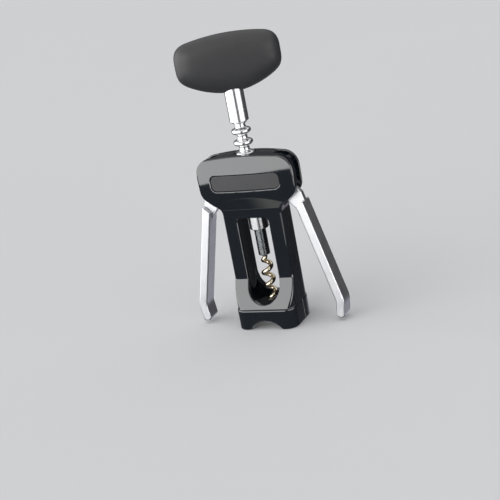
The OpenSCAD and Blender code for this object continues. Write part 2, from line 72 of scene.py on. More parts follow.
# Range that noise mostly fills, and the finer layers of each kind of mark
NOISE_RANGE = (0.3, 0.7)
CLOUD_DETAIL = 4.0
WEAR_DETAIL = 8.0
GRAIN_DETAIL = 2.0
MARK_DETAIL = 1.0
# How much finer wear is than clouds, and how far tool marks are drawn out
WEAR_FINER = 3
MARK_STRETCH = 0.02
# Places of the colours and of the result among the sockets of a mix node
MIX_COLOURS = (6, 7)
MIX_RESULT = 2


class Half(Enum):
    """Front or rear of the parting plane, as the sign of Y."""

    FRONT = -1
    REAR = 1


class Body(Enum):
    """The bodies of the part that pieces ride on."""

    SHELLS = "body"
    LEFT_LEVER = "lever_left"
    RIGHT_LEVER = "lever_right"
    RACK = "rack"
    SCREW = "screw"


class Lines(Enum):
    """Direction of the fine tool marks on a metal."""

    NONE = "none"
    TURNED = "turned"
    DRAWN = "drawn"


def unit(vector: Array) -> Array:
    """The vector at length one."""
    return vector / np.linalg.norm(vector)


def unit_rows(vectors: Array) -> Array:
    """Vectors, one row each, at length one."""
    return vectors / np.linalg.norm(vectors, axis=1, keepdims=True)


def smooth_step(value: Array, low: float, high: float) -> Array:
    """A smooth rise from 0 at low to 1 at high."""
    share = np.clip((value - low) / (high - low), 0.0, 1.0)
    return share * share * (3.0 - 2.0 * share)


def round_cut(a: Array, b: Array, radius: Array | float) -> Array:
    """Common part of two solids, with the edge between them rounded.

    Args:
        a: Distance to the first solid.
        b: Distance to the second solid.
        radius: Rounding of the edge.

    Returns:
        Distance to the common part.
    """
    corner = np.hypot(np.maximum(radius + a, 0.0), np.maximum(radius + b, 0.0))
    return np.minimum(-radius, np.maximum(a, b)) + corner


def round_join(a: Array, b: Array, radius: float) -> Array:
    """Two solids joined, with a fillet in the corner between them.

    Args:
        a: Distance to the first solid.
        b: Distance to the second solid.
        radius: Radius of the fillet.

    Returns:
        Distance to the joined solid.
    """
    corner = np.hypot(np.maximum(radius - a, 0.0), np.maximum(radius - b, 0.0))
    return np.maximum(radius, np.minimum(a, b)) - corner


def round_box(u: Array, v: Array, width: float, height: float, radius: float) -> Array:
    """Distance to a flat rectangle about the origin with round corners.

    Args:
        u: First coordinate.
        v: Second coordinate.
        width: Full width along the first coordinate.
        height: Full height along the second coordinate.
        radius: Rounding of the corners.

    Returns:
        Distance, negative inside.
    """
    du = np.abs(u) - width / 2 + radius
    dv = np.abs(v) - height / 2 + radius
    outside = np.hypot(np.maximum(du, 0.0), np.maximum(dv, 0.0))
    return outside + np.minimum(np.maximum(du, dv), 0.0) - radius


@dataclass(frozen=True)
class Outline:
    """Closed outline in two coordinates, with its outward directions."""

    points: Array
    normals: Array

    @classmethod
    def through(cls, corners: Sequence[tuple[float, float, float]], steps: int = 14) -> "Outline":
        """Outline with rounded corners, given anticlockwise.

        Args:
            corners: Corners as (u, v, radius).
            steps: Straight steps along each rounded corner.

        Returns:
            The outline.
        """
        points, normals = [], []
        for i, (u, v, radius) in enumerate(corners):
            here = np.array((u, v))
            back = unit(np.array(corners[i - 1][:2]) - here)
            on = unit(np.array(corners[(i + 1) % len(corners)][:2]) - here)
            outward = math.copysign(1.0, on[0] * back[1] - on[1] * back[0])
            if radius == 0:
                points.append(here)
                normals.append(-outward * unit(back + on))
                continue
            half = math.acos(float(np.clip(back @ on, -1.0, 1.0))) / 2
            middle = here + unit(back + on) * radius / math.sin(half)
            start = here + back * radius / math.tan(half) - middle
            end = here + on * radius / math.tan(half) - middle
            first = math.atan2(start[1], start[0])
            turn = (math.atan2(end[1], end[0]) - first + math.pi) % math.tau - math.pi
            for k in range(steps + 1):
                angle = first + turn * k / steps
                ray = np.array((math.cos(angle), math.sin(angle)))
                points.append(middle + radius * ray)
                normals.append(outward * ray)
        return cls(np.array(points), np.array(normals))

    def distance(self, u: Array, v: Array) -> Array:
        """Signed distance from points to the outline.

        Args:
            u: First coordinate of the points.
            v: Second coordinate of the points.

        Returns:
            Distance, negative inside.
        """
        shape = np.broadcast(u, v).shape
        nearest = np.full(shape, np.inf)
        inside = np.zeros(shape, bool)
        for a, b in zip(self.points, np.roll(self.points, -1, axis=0)):
            e = b - a
            along = np.clip(((u - a[0]) * e[0] + (v - a[1]) * e[1]) / (e @ e), 0.0, 1.0)
            gap = (u - a[0] - along * e[0]) ** 2 + (v - a[1] - along * e[1]) ** 2
            nearest = np.minimum(nearest, gap)
            if e[1] != 0:
                crossing = a[0] + (v - a[1]) * e[0] / e[1]
                inside ^= ((a[1] <= v) != (b[1] <= v)) & (u < crossing)
        return np.where(inside, -1.0, 1.0) * np.sqrt(nearest)


def put(name: str, data: bpy.types.ID) -> bpy.types.Object:
    """A new object in the scene.

    Args:
        name: Name of the object.
        data: Its mesh or camera.

    Returns:
        The object.
    """
    item = bpy.data.objects.new(name, data)
    bpy.context.scene.collection.objects.link(item)
    return item


def shade_smooth(mesh: Mesh) -> None:
    """Shades every face of a mesh smooth."""
    mesh.polygons.foreach_set("use_smooth", np.ones(len(mesh.polygons), bool))


def raw_mesh(name: str, points: Array, faces: Sequence[Sequence[int]]) -> Mesh:
    """Mesh from points and faces, shaded smooth.

    Args:
        name: Name of the mesh.
        points: Points, one row each.
        faces: Point numbers of each face.

    Returns:
        The mesh.
    """
    mesh = bpy.data.meshes.new(name)
    mesh.from_pydata(points.tolist(), [], faces)
    shade_smooth(mesh)
    mesh.update()
    return mesh


@dataclass(frozen=True)
class SurfaceNet:
    """Turns a distance field into a mesh, thinned where the surface is flat.

    Attributes:
        step: Size of the net's cells.
        keep: Share of the faces that stay after thinning.
        margin: Free cells round the room that is searched.
        least_slope: Least square of the slope that a point is settled with.
    """

    step: float
    keep: float
    margin: int = 2
    least_slope: float = 0.25

    @property
    def reach(self) -> float:
        """Distance from a point at which the field is sampled."""
        return self.step / 4

    def coarser(self, times: float) -> "SurfaceNet":
        """The same net with larger cells."""
        return replace(self, step=self.step * times)

    def mesh(self, name: str, solid: Field, low: Sequence[float], high: Sequence[float],
             skin: Field | None = None) -> Mesh:
        """Mesh of a solid.

        Args:
            name: Name of the mesh.
            solid: Distance field of the solid.
            low: Lowest corner of the room to search.
            high: Highest corner of the room to search.
            skin: Field of a larger solid that the piece is parted from, which shades what they share.

        Returns:
            The mesh, with the field's own directions as its normals.
        """
        points, quads = self._cells(solid, low, high)
        mesh = self._thin(raw_mesh(name, self._settle(solid, points), quads.tolist()))
        points = np.zeros(len(mesh.vertices) * 3)
        mesh.vertices.foreach_get("co", points)
        points = self._settle(solid, self._settle(solid, points.reshape(-1, 3)))
        mesh.vertices.foreach_set("co", points.ravel())
        shade_smooth(mesh)
        slope = self._slope(solid, points)[1]
        if skin is not None:
            off, lean = self._slope(skin, points)
            on_skin = np.abs(off) < self.reach
            slope[on_skin] = lean[on_skin]
        mesh.normals_split_custom_set_from_vertices(unit_rows(slope))
        return mesh

    def _cells(self, solid: Field, low: Sequence[float], high: Sequence[float]) -> tuple[Array, Array]:
        """Points and faces of the net, one point in each cell that the surface passes.

        Args:
            solid: Distance field of the solid.
            low: Lowest corner of the room to search.
            high: Highest corner of the room to search.

        Returns:
            Points and four-sided faces.
        """
        margin = self.margin * self.step
        axes = [np.arange(a - margin, b + margin, self.step) for a, b in zip(low, high)]
        value = solid(*np.meshgrid(*axes, indexing="ij", sparse=True))
        inside = value < 0
        size = tuple(n - 1 for n in value.shape)

        def corner(grid: Array, place: tuple[int, int, int]) -> Array:
            """The grid at one corner of every cell."""
            return grid[tuple(slice(p, p + n) for p, n in zip(place, size))]

        corners = list(product((0, 1), repeat=3))
        filled = sum(corner(inside, c).astype(np.uint8) for c in corners)
        passed = (filled > 0) & (filled < len(corners))
        cells = np.argwhere(passed)
        number = np.full(size, -1, np.int64)
        number[passed] = np.arange(len(cells))
        total, hits = np.zeros((len(cells), 3)), np.zeros(len(cells))
        for a, b in product(corners, corners):
            way = np.subtract(b, a)
            if way.min() < 0 or way.sum() != 1:
                continue
            at_a, at_b = corner(value, a)[passed], corner(value, b)[passed]
            crossed = (at_a < 0) != (at_b < 0)
            share = at_a[crossed] / (at_a[crossed] - at_b[crossed])
            total[crossed] += np.array(a) + share[:, None] * way
            hits += crossed
        points = [a[0] for a in axes] + (cells + total / hits[:, None]) * self.step
        return points, np.concatenate([self._faces(inside, number, axis) for axis in range(3)])

    @staticmethod
    def _faces(inside: Array, number: Array, axis: int) -> Array:
        """Faces across the grid's lines along one axis.

        Args:
            inside: Whether each grid point is inside the solid.
            number: Number of each cell's point.
            axis: The axis of the lines.

        Returns:
            Four-sided faces.
        """
        u, v = (axis + 1) % 3, (axis + 2) % 3
        near, far = [slice(1, -1)] * 3, [slice(1, -1)] * 3
        near[axis], far[axis] = slice(0, -1), slice(1, None)
        first, second = inside[tuple(near)], inside[tuple(far)]
        start = np.ones(3, int)
        start[axis] = 0
        faces = []
        for leaving in (True, False):
            at = np.argwhere((first != second) & (first == leaving)) + start
            ring = []
            for du, dv in ((-1, -1), (0, -1), (0, 0), (-1, 0)):
                cell = at.copy()
                cell[:, u] += du
                cell[:, v] += dv
                ring.append(number[tuple(cell.T)])
            faces.append(np.stack(ring if leaving else ring[::-1], axis=1))
        return np.concatenate(faces)

    def _slope(self, solid: Field, points: Array) -> tuple[Array, Array]:
        """Value and slope of the field at points, from four samples round each.

        Args:
            solid: Distance field of the solid.
            points: Points, one row each.

        Returns:
            Values and slopes.
        """
        ways = np.array(((1, 1, 1), (1, -1, -1), (-1, 1, -1), (-1, -1, 1)), float)
        value, slope = np.zeros(len(points)), np.zeros(points.shape)
        for way in ways:
            sample = solid(*(points + self.reach * way).T)
            value += sample / len(ways)
            slope += sample[:, None] * way / (len(ways) * self.reach)
        return value, slope

    def _settle(self, solid: Field, points: Array) -> Array:
        """Points moved onto the surface.

        Args:
            solid: Distance field of the solid.
            points: Points near its surface, one row each.

        Returns:
            The moved points.
        """
        value, slope = self._slope(solid, points)
        scale = np.maximum((slope * slope).sum(axis=1), self.least_slope)
        shift = np.clip(value / scale, -self.step, self.step)
        return points - shift[:, None] * slope

    def _thin(self, mesh: Mesh) -> Mesh:
        """Mesh with fewer faces where the surface is flat.

        Args:
            mesh: The full mesh, which is removed.

        Returns:
            The thinned mesh.
        """
        holder = put(mesh.name, mesh)
        thinning = holder.modifiers.new("thin", "DECIMATE")
        thinning.ratio = self.keep
        held = holder.evaluated_get(bpy.context.evaluated_depsgraph_get())
        thinned = bpy.data.meshes.new_from_object(held)
        thinned.name = mesh.name
        bpy.data.objects.remove(holder)
        bpy.data.meshes.remove(mesh)
        return thinned


def grid_faces(rows: int, columns: int, close_rows: bool) -> Array:
    """Faces of a grid of points that closes on itself along its columns.

    Args:
        rows: Number of rows of points.
        columns: Number of points in a row.
        close_rows: Whether the last row joins the first.

    Returns:
        Four-sided faces.
    """
    bands = rows if close_rows else rows - 1
    row, column = np.meshgrid(np.arange(bands), np.arange(columns), indexing="ij")
    next_row, next_column = (row + 1) % rows, (column + 1) % columns
    ring = [row * columns + column, next_row * columns + column]
    ring += [next_row * columns + next_column, row * columns + next_column]
    return np.stack([r.ravel() for r in ring], axis=1)


def turned_mesh(name: str, profile: Outline) -> Mesh:
    """Mesh of a profile turned round the worm's axis.

    Args:
        name: Name of the mesh.
        profile: Outline in radius and height.

    Returns:
        The mesh.
    """
    angle = np.arange(TURNED_SEGMENTS)[:, None] * math.tau / TURNED_SEGMENTS
    flat = np.ones_like(angle)

    def swept(pairs: Array) -> Array:
        """Radius and height carried round the axis."""
        r, z = pairs[:, 0], pairs[:, 1]
        return np.stack([np.cos(angle) * r, np.sin(angle) * r, flat * z], axis=-1).reshape(-1, 3)

    faces = grid_faces(TURNED_SEGMENTS, len(profile.points), True)
    mesh = raw_mesh(name, swept(profile.points), faces.tolist())
    mesh.normals_split_custom_set_from_vertices(swept(profile.normals))
    return mesh


def sleeve(low: Vector, high: Vector, bore: float, outer: float, edges: Sequence[float]) -> Outline:
    """Profile of a plain sleeve in radius and height.

    Args:
        low: Lowest corner of its box.
        high: Highest corner of its box.
        bore: Inner radius.
        outer: Outer radius.
        edges: Rounding of the lower inner, lower outer, upper outer and upper inner edge.

    Returns:
        The profile.
    """
    corners = ((bore, low.z), (outer, low.z), (outer, high.z), (bore, high.z))
    return Outline.through([(r, z, edge) for (r, z), edge in zip(corners, edges)], TURNED_STEPS)


class Nodes:
    """A shader's nodes in the making."""

    def __init__(self, tree: bpy.types.NodeTree) -> None:
        """Starts on a tree of nodes."""
        self.tree = tree

    def add(self, kind: str, **settings: object) -> bpy.types.Node:
        """A new node.

        Args:
            kind: Blender's name for the kind of node.
            settings: Values of the node's own settings.

        Returns:
            The node.
        """
        node = self.tree.nodes.new(kind)
        for name, value in settings.items():
            setattr(node, name, value)
        return node

    def feed(self, socket: Socket, value: object) -> None:
        """Links an output to a socket, or sets the socket's value.

        Args:
            socket: The socket to feed.
            value: An output, or a plain value.
        """
        if isinstance(value, Socket):
            self.tree.links.new(value, socket)
        else:
            socket.default_value = value

    def sum_up(self, operation: str, *values: object) -> Socket:
        """Result of a sum.

        Args:
            operation: Blender's name for the kind of sum.
            values: Numbers or outputs.

        Returns:
            The result's output.
        """
        node = self.add("ShaderNodeMath", operation=operation)
        for socket, value in zip(node.inputs, values):
            self.feed(socket, value)
        return node.outputs[0]

    def ramp(self, value: object, start: float, end: float) -> Socket:
        """Smooth rise from 0 to 1.

        Args:
            value: Output that it follows.
            start: Value where it is 0.
            end: Value where it is 1.

        Returns:
            The rise's output.
        """
        node = self.add("ShaderNodeMapRange", interpolation_type="SMOOTHSTEP")
        self.feed(node.inputs["Value"], value)
        node.inputs["From Min"].default_value = start
        node.inputs["From Max"].default_value = end
        return node.outputs["Result"]

    def mixed(self, share: object, a: object, b: object) -> Socket:
        """Colour between two colours.

        Args:
            share: Share of the second colour.
            a: First colour, or an output.
            b: Second colour, or an output.

        Returns:
            The colour's output.
        """
        node = self.add("ShaderNodeMix", data_type="RGBA")
        self.feed(node.inputs[0], share)
        for number, colour in zip(MIX_COLOURS, (a, b)):
            self.feed(node.inputs[number], colour if isinstance(colour, Socket) else (*colour, 1.0))
        return node.outputs[MIX_RESULT]


class Recipe(Nodes):
    """A material in the making: its shader, and the nodes that feed it."""

    def __init__(self, name: str) -> None:
        """Starts a material.

        Args:
            name: Name of the material.
        """
        self.material = bpy.data.materials.new(name)
        self.material.use_nodes = True
        super().__init__(self.material.node_tree)
        self.shader = self.tree.nodes["Principled BSDF"]
        self.coordinates = self.add("ShaderNodeTexCoord").outputs["Object"]

    def stretched(self, scale: Sequence[float]) -> Socket:
        """Object coordinates stretched along the axes.

        Args:
            scale: Scale along each axis.

        Returns:
            The coordinates' output.
        """
        node = self.add("ShaderNodeMapping")
        self.feed(node.inputs["Vector"], self.coordinates)
        node.inputs["Scale"].default_value = scale
        return node.outputs["Vector"]

    def noise(self, size: float, detail: float, stretch: Sequence[float] = (1, 1, 1)) -> Socket:
        """Noise whose marks have about that size.

        Args:
            size: Size of the marks.
            detail: Number of finer layers.
            stretch: Scale along the axes.

        Returns:
            The noise's output.
        """
        node = self.add("ShaderNodeTexNoise")
        self.feed(node.inputs["Vector"], self.stretched(stretch))
        node.inputs["Scale"].default_value = 1 / size
        node.inputs["Detail"].default_value = detail
        return node.outputs["Fac"]

    def spread(self, value: Socket, low: float, high: float) -> Socket:
        """Noise spread over a range of values.

        Args:
            value: The noise.
            low: Value at the low end of the noise.
            high: Value at its high end.

        Returns:
            The value's output.
        """
        node = self.add("ShaderNodeMapRange")
        self.feed(node.inputs["Value"], value)
        for name, number in zip(("From Min", "From Max", "To Min", "To Max"), (*NOISE_RANGE, low, high)):
            node.inputs[name].default_value = number
        return node.outputs["Result"]

    def bumped(self, height: Socket, depth: float, under: object = None) -> Socket:
        """Normal of a surface with fine relief.

        Args:
            height: Relief from 0 to 1.
            depth: Depth of the relief.
            under: Normal that the relief lies on, if any.

        Returns:
            The normal.
        """
        node = self.add("ShaderNodeBump")
        node.inputs["Strength"].default_value = 1.0
        node.inputs["Distance"].default_value = depth
        self.feed(node.inputs["Height"], height)
        if under is not None:
            self.feed(node.inputs["Normal"], under)
        return node.outputs["Normal"]

    def shade(self, **values: object) -> None:
        """Feeds the shader's sockets, named with _ for a space."""
        for name, value in values.items():
            self.feed(self.shader.inputs[name.replace("_", " ")], value)


@dataclass(frozen=True)
class Finish:
    """A finish of the part.

    Attributes:
        slot: The record's material slot.
        colour: Main colour.
        tint: Colour that it drifts to.
        gloss: Roughness of the shiniest and of the dullest places.
        drift: Size of the marks that colour and roughness drift over.
        grain: Size of the fine relief.
        relief: Depth of the fine relief.
    """

    slot: str
    colour: Colour
    tint: Colour
    gloss: tuple[float, float]
    drift: float
    grain: float
    relief: float

    def material(self) -> bpy.types.Material:
        """The finish as a material, made once.

        Returns:
            The material.
        """
        name = f"{self.slot}_finish"
        made = bpy.data.materials.get(name)
        if made is None:
            recipe = Recipe(name)
            self.mix(recipe)
            made = recipe.material
        return made

    def mix(self, recipe: Recipe) -> None:
        """Colour, roughness and relief, shared by all finishes.

        Args:
            recipe: The material in the making.
        """
        cloudy = recipe.noise(self.drift, CLOUD_DETAIL)
        recipe.shade(Base_Color=recipe.mixed(recipe.spread(cloudy, 0, 1), self.colour, self.tint))
        worn = recipe.noise(self.drift / WEAR_FINER, WEAR_DETAIL)
        recipe.shade(Roughness=recipe.spread(worn, *self.gloss))
        recipe.shade(Normal=recipe.bumped(recipe.noise(self.grain, GRAIN_DETAIL), self.relief))


@dataclass(frozen=True)
class Plastic(Finish):
    """Moulded plastic.

    Attributes:
        level: Strength of the surface's mirror image.
        index: Refraction of the surface, which raises its mirror image too.
    """

    level: float = 0.5
    index: float = 1.5

    def mix(self, recipe: Recipe) -> None:
        """Adds the mirror image of a moulded skin."""
        super().mix(recipe)
        recipe.shade(Specular_IOR_Level=self.level, IOR=self.index)


@dataclass(frozen=True)
class Rubber(Finish):
    """Soft moulded rubber.

    Attributes:
        sheen: Strength of the soft glow at grazing angles.
        dust: Roughness of that glow.
        level: Strength of the surface's mirror image.
    """

    sheen: float = 0.01
    dust: float = 0.5
    level: float = 0.6

    def mix(self, recipe: Recipe) -> None:
        """Adds a dusty glow and a weak mirror image."""
        super().mix(recipe)
        recipe.shade(Sheen_Weight=self.sheen, Sheen_Roughness=self.dust, Specular_IOR_Level=self.level)


@dataclass(frozen=True)
class Metal(Finish):
    """Bare or plated metal.

    Attributes:
        lines: Direction of its tool marks.
        pitch: Distance between its tool marks.
        scratch: Depth of its tool marks.
    """

    lines: Lines = Lines.NONE
    pitch: float = 0.2 * MM
    scratch: float = 0.0

    def mix(self, recipe: Recipe) -> None:
        """Adds tool marks to the shared relief.

        Args:
            recipe: The material in the making.
        """
        super().mix(recipe)
        recipe.shade(Metallic=1.0)
        if self.lines is Lines.NONE:
            return
        turned, drawn = (MARK_STRETCH, MARK_STRETCH, 1.0), (1.0, 1.0, MARK_STRETCH)
        marks = recipe.noise(self.pitch, MARK_DETAIL, turned if self.lines is Lines.TURNED else drawn)
        relief = recipe.shader.inputs["Normal"].links[0].from_socket
        recipe.shade(Normal=recipe.bumped(marks, self.scratch, relief))


SHELL = Plastic("shell_black", (0.003, 0.005, 0.008), (0.004, 0.007, 0.011), (0.008, 0.022),
                30 * MM, 4 * MM, 0.0006 * MM, level=1.0, index=1.62)
PLATE = Plastic("plate_black", (0.022, 0.022, 0.024), (0.03, 0.03, 0.033), (0.3, 0.4),
                12 * MM, 0.25 * MM, 0.012 * MM, level=0.75)
BUSH = Plastic("bush_black", (0.02, 0.02, 0.02), (0.03, 0.03, 0.03), (0.4, 0.55),
               8 * MM, 0.4 * MM, 0.01 * MM)
GRIP = Rubber("grip_rubber", (0.03, 0.03, 0.032), (0.036, 0.036, 0.038), (0.45, 0.53),
              18 * MM, 0.35 * MM, 0.014 * MM)
STEEL = Metal("steel", (0.22, 0.24, 0.25), (0.36, 0.38, 0.39), (0.2, 0.36),
              3 * MM, 0.3 * MM, 0.004 * MM, Lines.TURNED, 0.25 * MM, 0.012 * MM)
LEVER = Metal("lever_chrome", (0.92, 0.92, 0.94), (0.87, 0.87, 0.9), (0.3, 0.38),
              20 * MM, 0.3 * MM, 0.002 * MM, Lines.DRAWN, 0.3 * MM, 0.003 * MM)
RACK = Metal("rack_chrome", (0.9, 0.9, 0.91), (0.85, 0.85, 0.87), (0.23, 0.27),
             12 * MM, 0.8 * MM, 0.0005 * MM, Lines.TURNED, 0.3 * MM, 0.0006 * MM)
WORM = Metal("worm_nickel", (0.84, 0.76, 0.6), (0.56, 0.47, 0.32), (0.08, 0.18),
             4 * MM, 0.4 * MM, 0.006 * MM, Lines.TURNED, 0.4 * MM, 0.006 * MM)


def place(name: str, mesh: Mesh, finish: Finish, body: Body, *nodes: str) -> None:
    """Puts a new piece in the scene, dressed and riding on its body.

    Args:
        name: Name of the piece.
        mesh: Its mesh, in the part's frame.
        finish: Its finish.
        body: The body that it moves with.
        nodes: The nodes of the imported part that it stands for.
    """
    piece = put(name, mesh)
    mesh.materials.clear()
    mesh.materials.append(finish.material())
    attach(piece, body.value)
    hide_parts(*nodes)
    log.info("%s: %d faces, stands for %s", name, len(mesh.polygons), ", ".join(nodes))


def place_turned(node: str, profile: Outline, finish: Finish, body: Body) -> None:
    """Puts a turned piece in the scene in a node's stead."""
    name = f"{node}_turning"
    place(name, turned_mesh(name, profile), finish, body, node)


def dress(finish: Finish, *nodes: str) -> None:
    """Gives nodes that stay as they are a finish.

    Args:
        finish: The finish.
        nodes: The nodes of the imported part.
    """
    for name in nodes:
        for slot in frame["nodes"][name].material_slots:
            slot.material = finish.material()
        log.info("%s: kept, in %s", name, finish.slot)


def joint_place(name: str) -> Vector:
    """A joint's place in the part's frame."""
    return Vector(next(j["pos_m"] for j in frame["joints"] if j["name"] == name))


@dataclass(frozen=True)
class Shells:
    """Front and rear half shells: head, tower, window and flared base."""

    # Base with its arch and neck bore
    base_d: float = 35 * MM
    base_front_r: float = 7 * MM
    base_rear_r: float = 12 * MM
    collar_h: float = 12.8 * MM
    collar_edge_r: float = 0.6 * MM
    ledge_w: float = 1.3 * MM
    ledge_r: float = 0.4 * MM
    flare_top: float = 30 * MM
    base_edge_r: float = 0.9 * MM
    foot_r: float = 0.7 * MM
    crease_r: float = 0.3 * MM
    arch_w: float = 21.4 * MM
    arch_h: float = 5.7 * MM
    arch_lip: float = 0.8 * MM
    neck_r: float = 15.3 * MM
    neck_depth: float = 11 * MM
    neck_lip: float = 0.6 * MM
    # Tower with its window
    tower_w: float = 39.4 * MM
    tower_d: float = 16.4 * MM
    tower_top: float = 76 * MM
    tower_edge_r: float = 1.8 * MM
    cork_r: float = 12.5 * MM
    window_w: float = 21 * MM
    window_low: float = 15.5 * MM
    window_top: float = 70 * MM
    window_corner_r: float = 2.5 * MM
    window_lip: float = 0.5 * MM
    window_flat: float = 0.02 * MM
    window_steps: int = 32
    # Head
    head_w: float = 64.4 * MM
    head_front_d: float = 10.9 * MM
    head_rear_d: float = 9.4 * MM
    face_r: float = 185 * MM
    rear_r: float = 390 * MM
    head_low: float = 85 * MM
    head_step_h: float = 8.2 * MM
    step_low_r: float = 1 * MM
    step_top_r: float = 3 * MM
    head_top: float = 108 * MM
    crown_top: float = 111.6 * MM
    crown_r: float = 160 * MM
    head_bow: float = 0.4 * MM
    head_top_r: float = 10 * MM
    head_low_r: float = 8 * MM
    head_neck_r: float = 6.5 * MM
    side_bow_r: float = 28 * MM
    front_edge_r: float = 1.0 * MM
    rear_edge_r: float = 4.5 * MM
    edge_start: float = 2 * MM
    # Recess for the bare plate
    label_l: float = 45.7 * MM
    label_h: float = 10.1 * MM
    label_r: float = 3.55 * MM
    label_z: float = 93.7 * MM
    label_recess: float = 1.1 * MM
    label_lip: float = 0.3 * MM
    # Ways of the rack and of the levers
    channel_r: float = 6.6 * MM
    channel_over: float = 1 * MM
    channel_lip: float = 0.7 * MM
    bush_r: float = 7.2 * MM
    slot_w: float = 7 * MM
    slot_lip: float = 0.5 * MM
    sweep_r: float = 15.53 * MM
    sweep_half: float = 5.95 * MM
    sweep_low: float = math.radians(-49.5)
    sweep_high: float = math.radians(67.5)
    sweep_steps: int = 7
    # Pins and screws, and the lip of what fits closely
    pin_r: float = 2.02 * MM
    pin_l: float = 15.04 * MM
    screw_r: float = 1.32 * MM
    screw_head_r: float = 2.55 * MM
    screw_seat: float = 5.6 * MM
    screw_l: float = 10 * MM
    screw_lip: float = 0.35 * MM
    bridge_screw: tuple[float, float] = (13.5 * MM, 73.6 * MM)
    tower_screw: tuple[float, float] = (16.1 * MM, 38 * MM)
    fit_lip: float = 0.05 * MM
    # Seam between the halves
    seam: float = 0.03 * MM
    seam_r: float = 0.25 * MM
    # How far outlines run on past the body
    below: float = -30 * MM
    beyond: float = 60 * MM

    def front_view(self) -> Outline:
        """Head and tower seen from the front.

        Returns:
            The outline across and up.
        """
        side = self.head_w / 2 - self.head_bow
        right = [
            (self.tower_w / 2, self.tower_top, self.head_neck_r),
            (side, self.head_low, self.head_low_r),
            (self.head_w / 2, (self.head_low + self.head_top) / 2, self.side_bow_r),
            (side, self.head_top, self.head_top_r),
        ]
        left = [(-u, v, r) for u, v, r in reversed(right)]
        foot = [(-self.tower_w / 2, self.below, 0.0), (self.tower_w / 2, self.below, 0.0)]
        return Outline.through([*right, (0.0, self.crown_top, self.crown_r), *left, *foot])

    def tower_profile(self) -> Outline:
        """Half depth of tower and head over their height.

        Returns:
            The outline in depth and height.
        """
        return Outline.through([
            (-self.beyond, self.below, 0.0),
            (self.tower_d / 2, self.below, 0.0),
            (self.tower_d / 2, self.tower_top, self.step_low_r),
            (self.head_front_d, self.tower_top + self.head_step_h, self.step_top_r),
            (self.head_front_d, self.crown_top + self.beyond, 0.0),
            (-self.beyond, self.crown_top + self.beyond, 0.0),
        ])

    def front_face(self, x: Array, y: Array) -> Array:
        """Distance in front of the head's bowed front face."""
        return np.hypot(x, y - self.face_r + self.head_front_d) - self.face_r

    def rear_face(self, x: Array, y: Array) -> Array:
        """Distance behind the head's flatter rear face."""
        return np.hypot(x, y + self.rear_r - self.head_rear_d) - self.rear_r

    def base(self, x: Array, y: Array, z: Array) -> Array:
        """Distance to the base: an upright collar, a narrow ledge and the flare.

        Args:
            x: First coordinate.
            y: Second coordinate.
            z: Third coordinate.

        Returns:
            Distance, negative inside.
        """
        radii = (self.base_front_r, self.base_rear_r)

        def plan(step: float) -> Array:
            """The base seen from above, drawn in by a step."""
            halves = [round_box(x, y, self.tower_w, self.base_d - 2 * step, r) for r in radii]
            return np.where(y < 0, *halves)

        ledge = self.base_d / 2 - self.ledge_w
        run, rise = ledge - self.tower_d / 2, self.flare_top - self.collar_h
        slope = ((np.abs(y) - ledge) * rise + (z - self.collar_h) * run) / math.hypot(run, rise)
        collar = round_cut(plan(0.0), z - self.collar_h, self.collar_edge_r)
        flare = round_cut(plan(self.ledge_w), slope, self.base_edge_r)
        return round_join(collar, flare, self.ledge_r)

    def window(self) -> Outline:
        """Window seen from the front, with a round lower end.

        Returns:
            The outline across and up.
        """
        half = self.window_w / 2
        end_r = half - self.window_flat / 2
        return Outline.through([
            (-half, self.window_low, end_r),
            (half, self.window_low, end_r),
            (half, self.window_top, self.window_corner_r),
            (-half, self.window_top, self.window_corner_r),
        ], self.window_steps)

    def sweep(self) -> Outline:
        """Way of a lever's web through the head, about the lever's pivot.

        Returns:
            The outline across and up.
        """
        def ray(length: float, angle: float) -> Array:
            """Point at a distance and an angle."""
            return np.array((length * math.cos(angle), length * math.sin(angle)))

        low_side = ray(self.sweep_half, self.sweep_low - math.pi / 2)
        high_side = ray(self.sweep_half, self.sweep_high + math.pi / 2)
        turn = np.linspace(self.sweep_low, self.sweep_high, self.sweep_steps)
        corners = [low_side, ray(self.beyond, self.sweep_low) + low_side]
        corners += [ray(self.beyond, a) for a in turn]
        corners += [ray(self.beyond, self.sweep_high) + high_side, high_side]
        return Outline.through([(u, v, 0.0) for u, v in corners])

    def solid(self) -> Field:
        """Whole body before it is parted.

        Returns:
            Its distance field.
        """
        view, tower = self.front_view(), self.tower_profile()

        def distance(x: Array, y: Array, z: Array) -> Array:
            """Distance to the body.

            Args:
                x: First coordinate.
                y: Second coordinate.
                z: Third coordinate.

            Returns:
                Distance, negative inside.
            """
            front = self.front_face(x, y)
            thick = np.maximum(tower.distance(np.abs(y), z), np.where(y < 0, front, self.rear_face(x, y)))
            rise = smooth_step(z, self.tower_top - self.edge_start, self.head_low)
            head_edge = np.where(y < 0, self.front_edge_r, self.rear_edge_r)
            edge = self.tower_edge_r + (head_edge - self.tower_edge_r) * rise
            upper = round_cut(view.distance(x, z), thick, edge)
            stem = round_join(upper, self.base(x, y, z), self.crease_r)
            whole = round_cut(stem, -z, self.foot_r)
            for hollow, lip in self.hollows(x, y, z):
                whole = round_cut(whole, -hollow, lip)
            label = round_box(x, z - self.label_z, self.label_l, self.label_h, self.label_r)
            recess = np.maximum(label, np.where(y < 0, -front - self.label_recess, np.inf))
            return round_cut(whole, -recess, self.label_lip)

        return distance

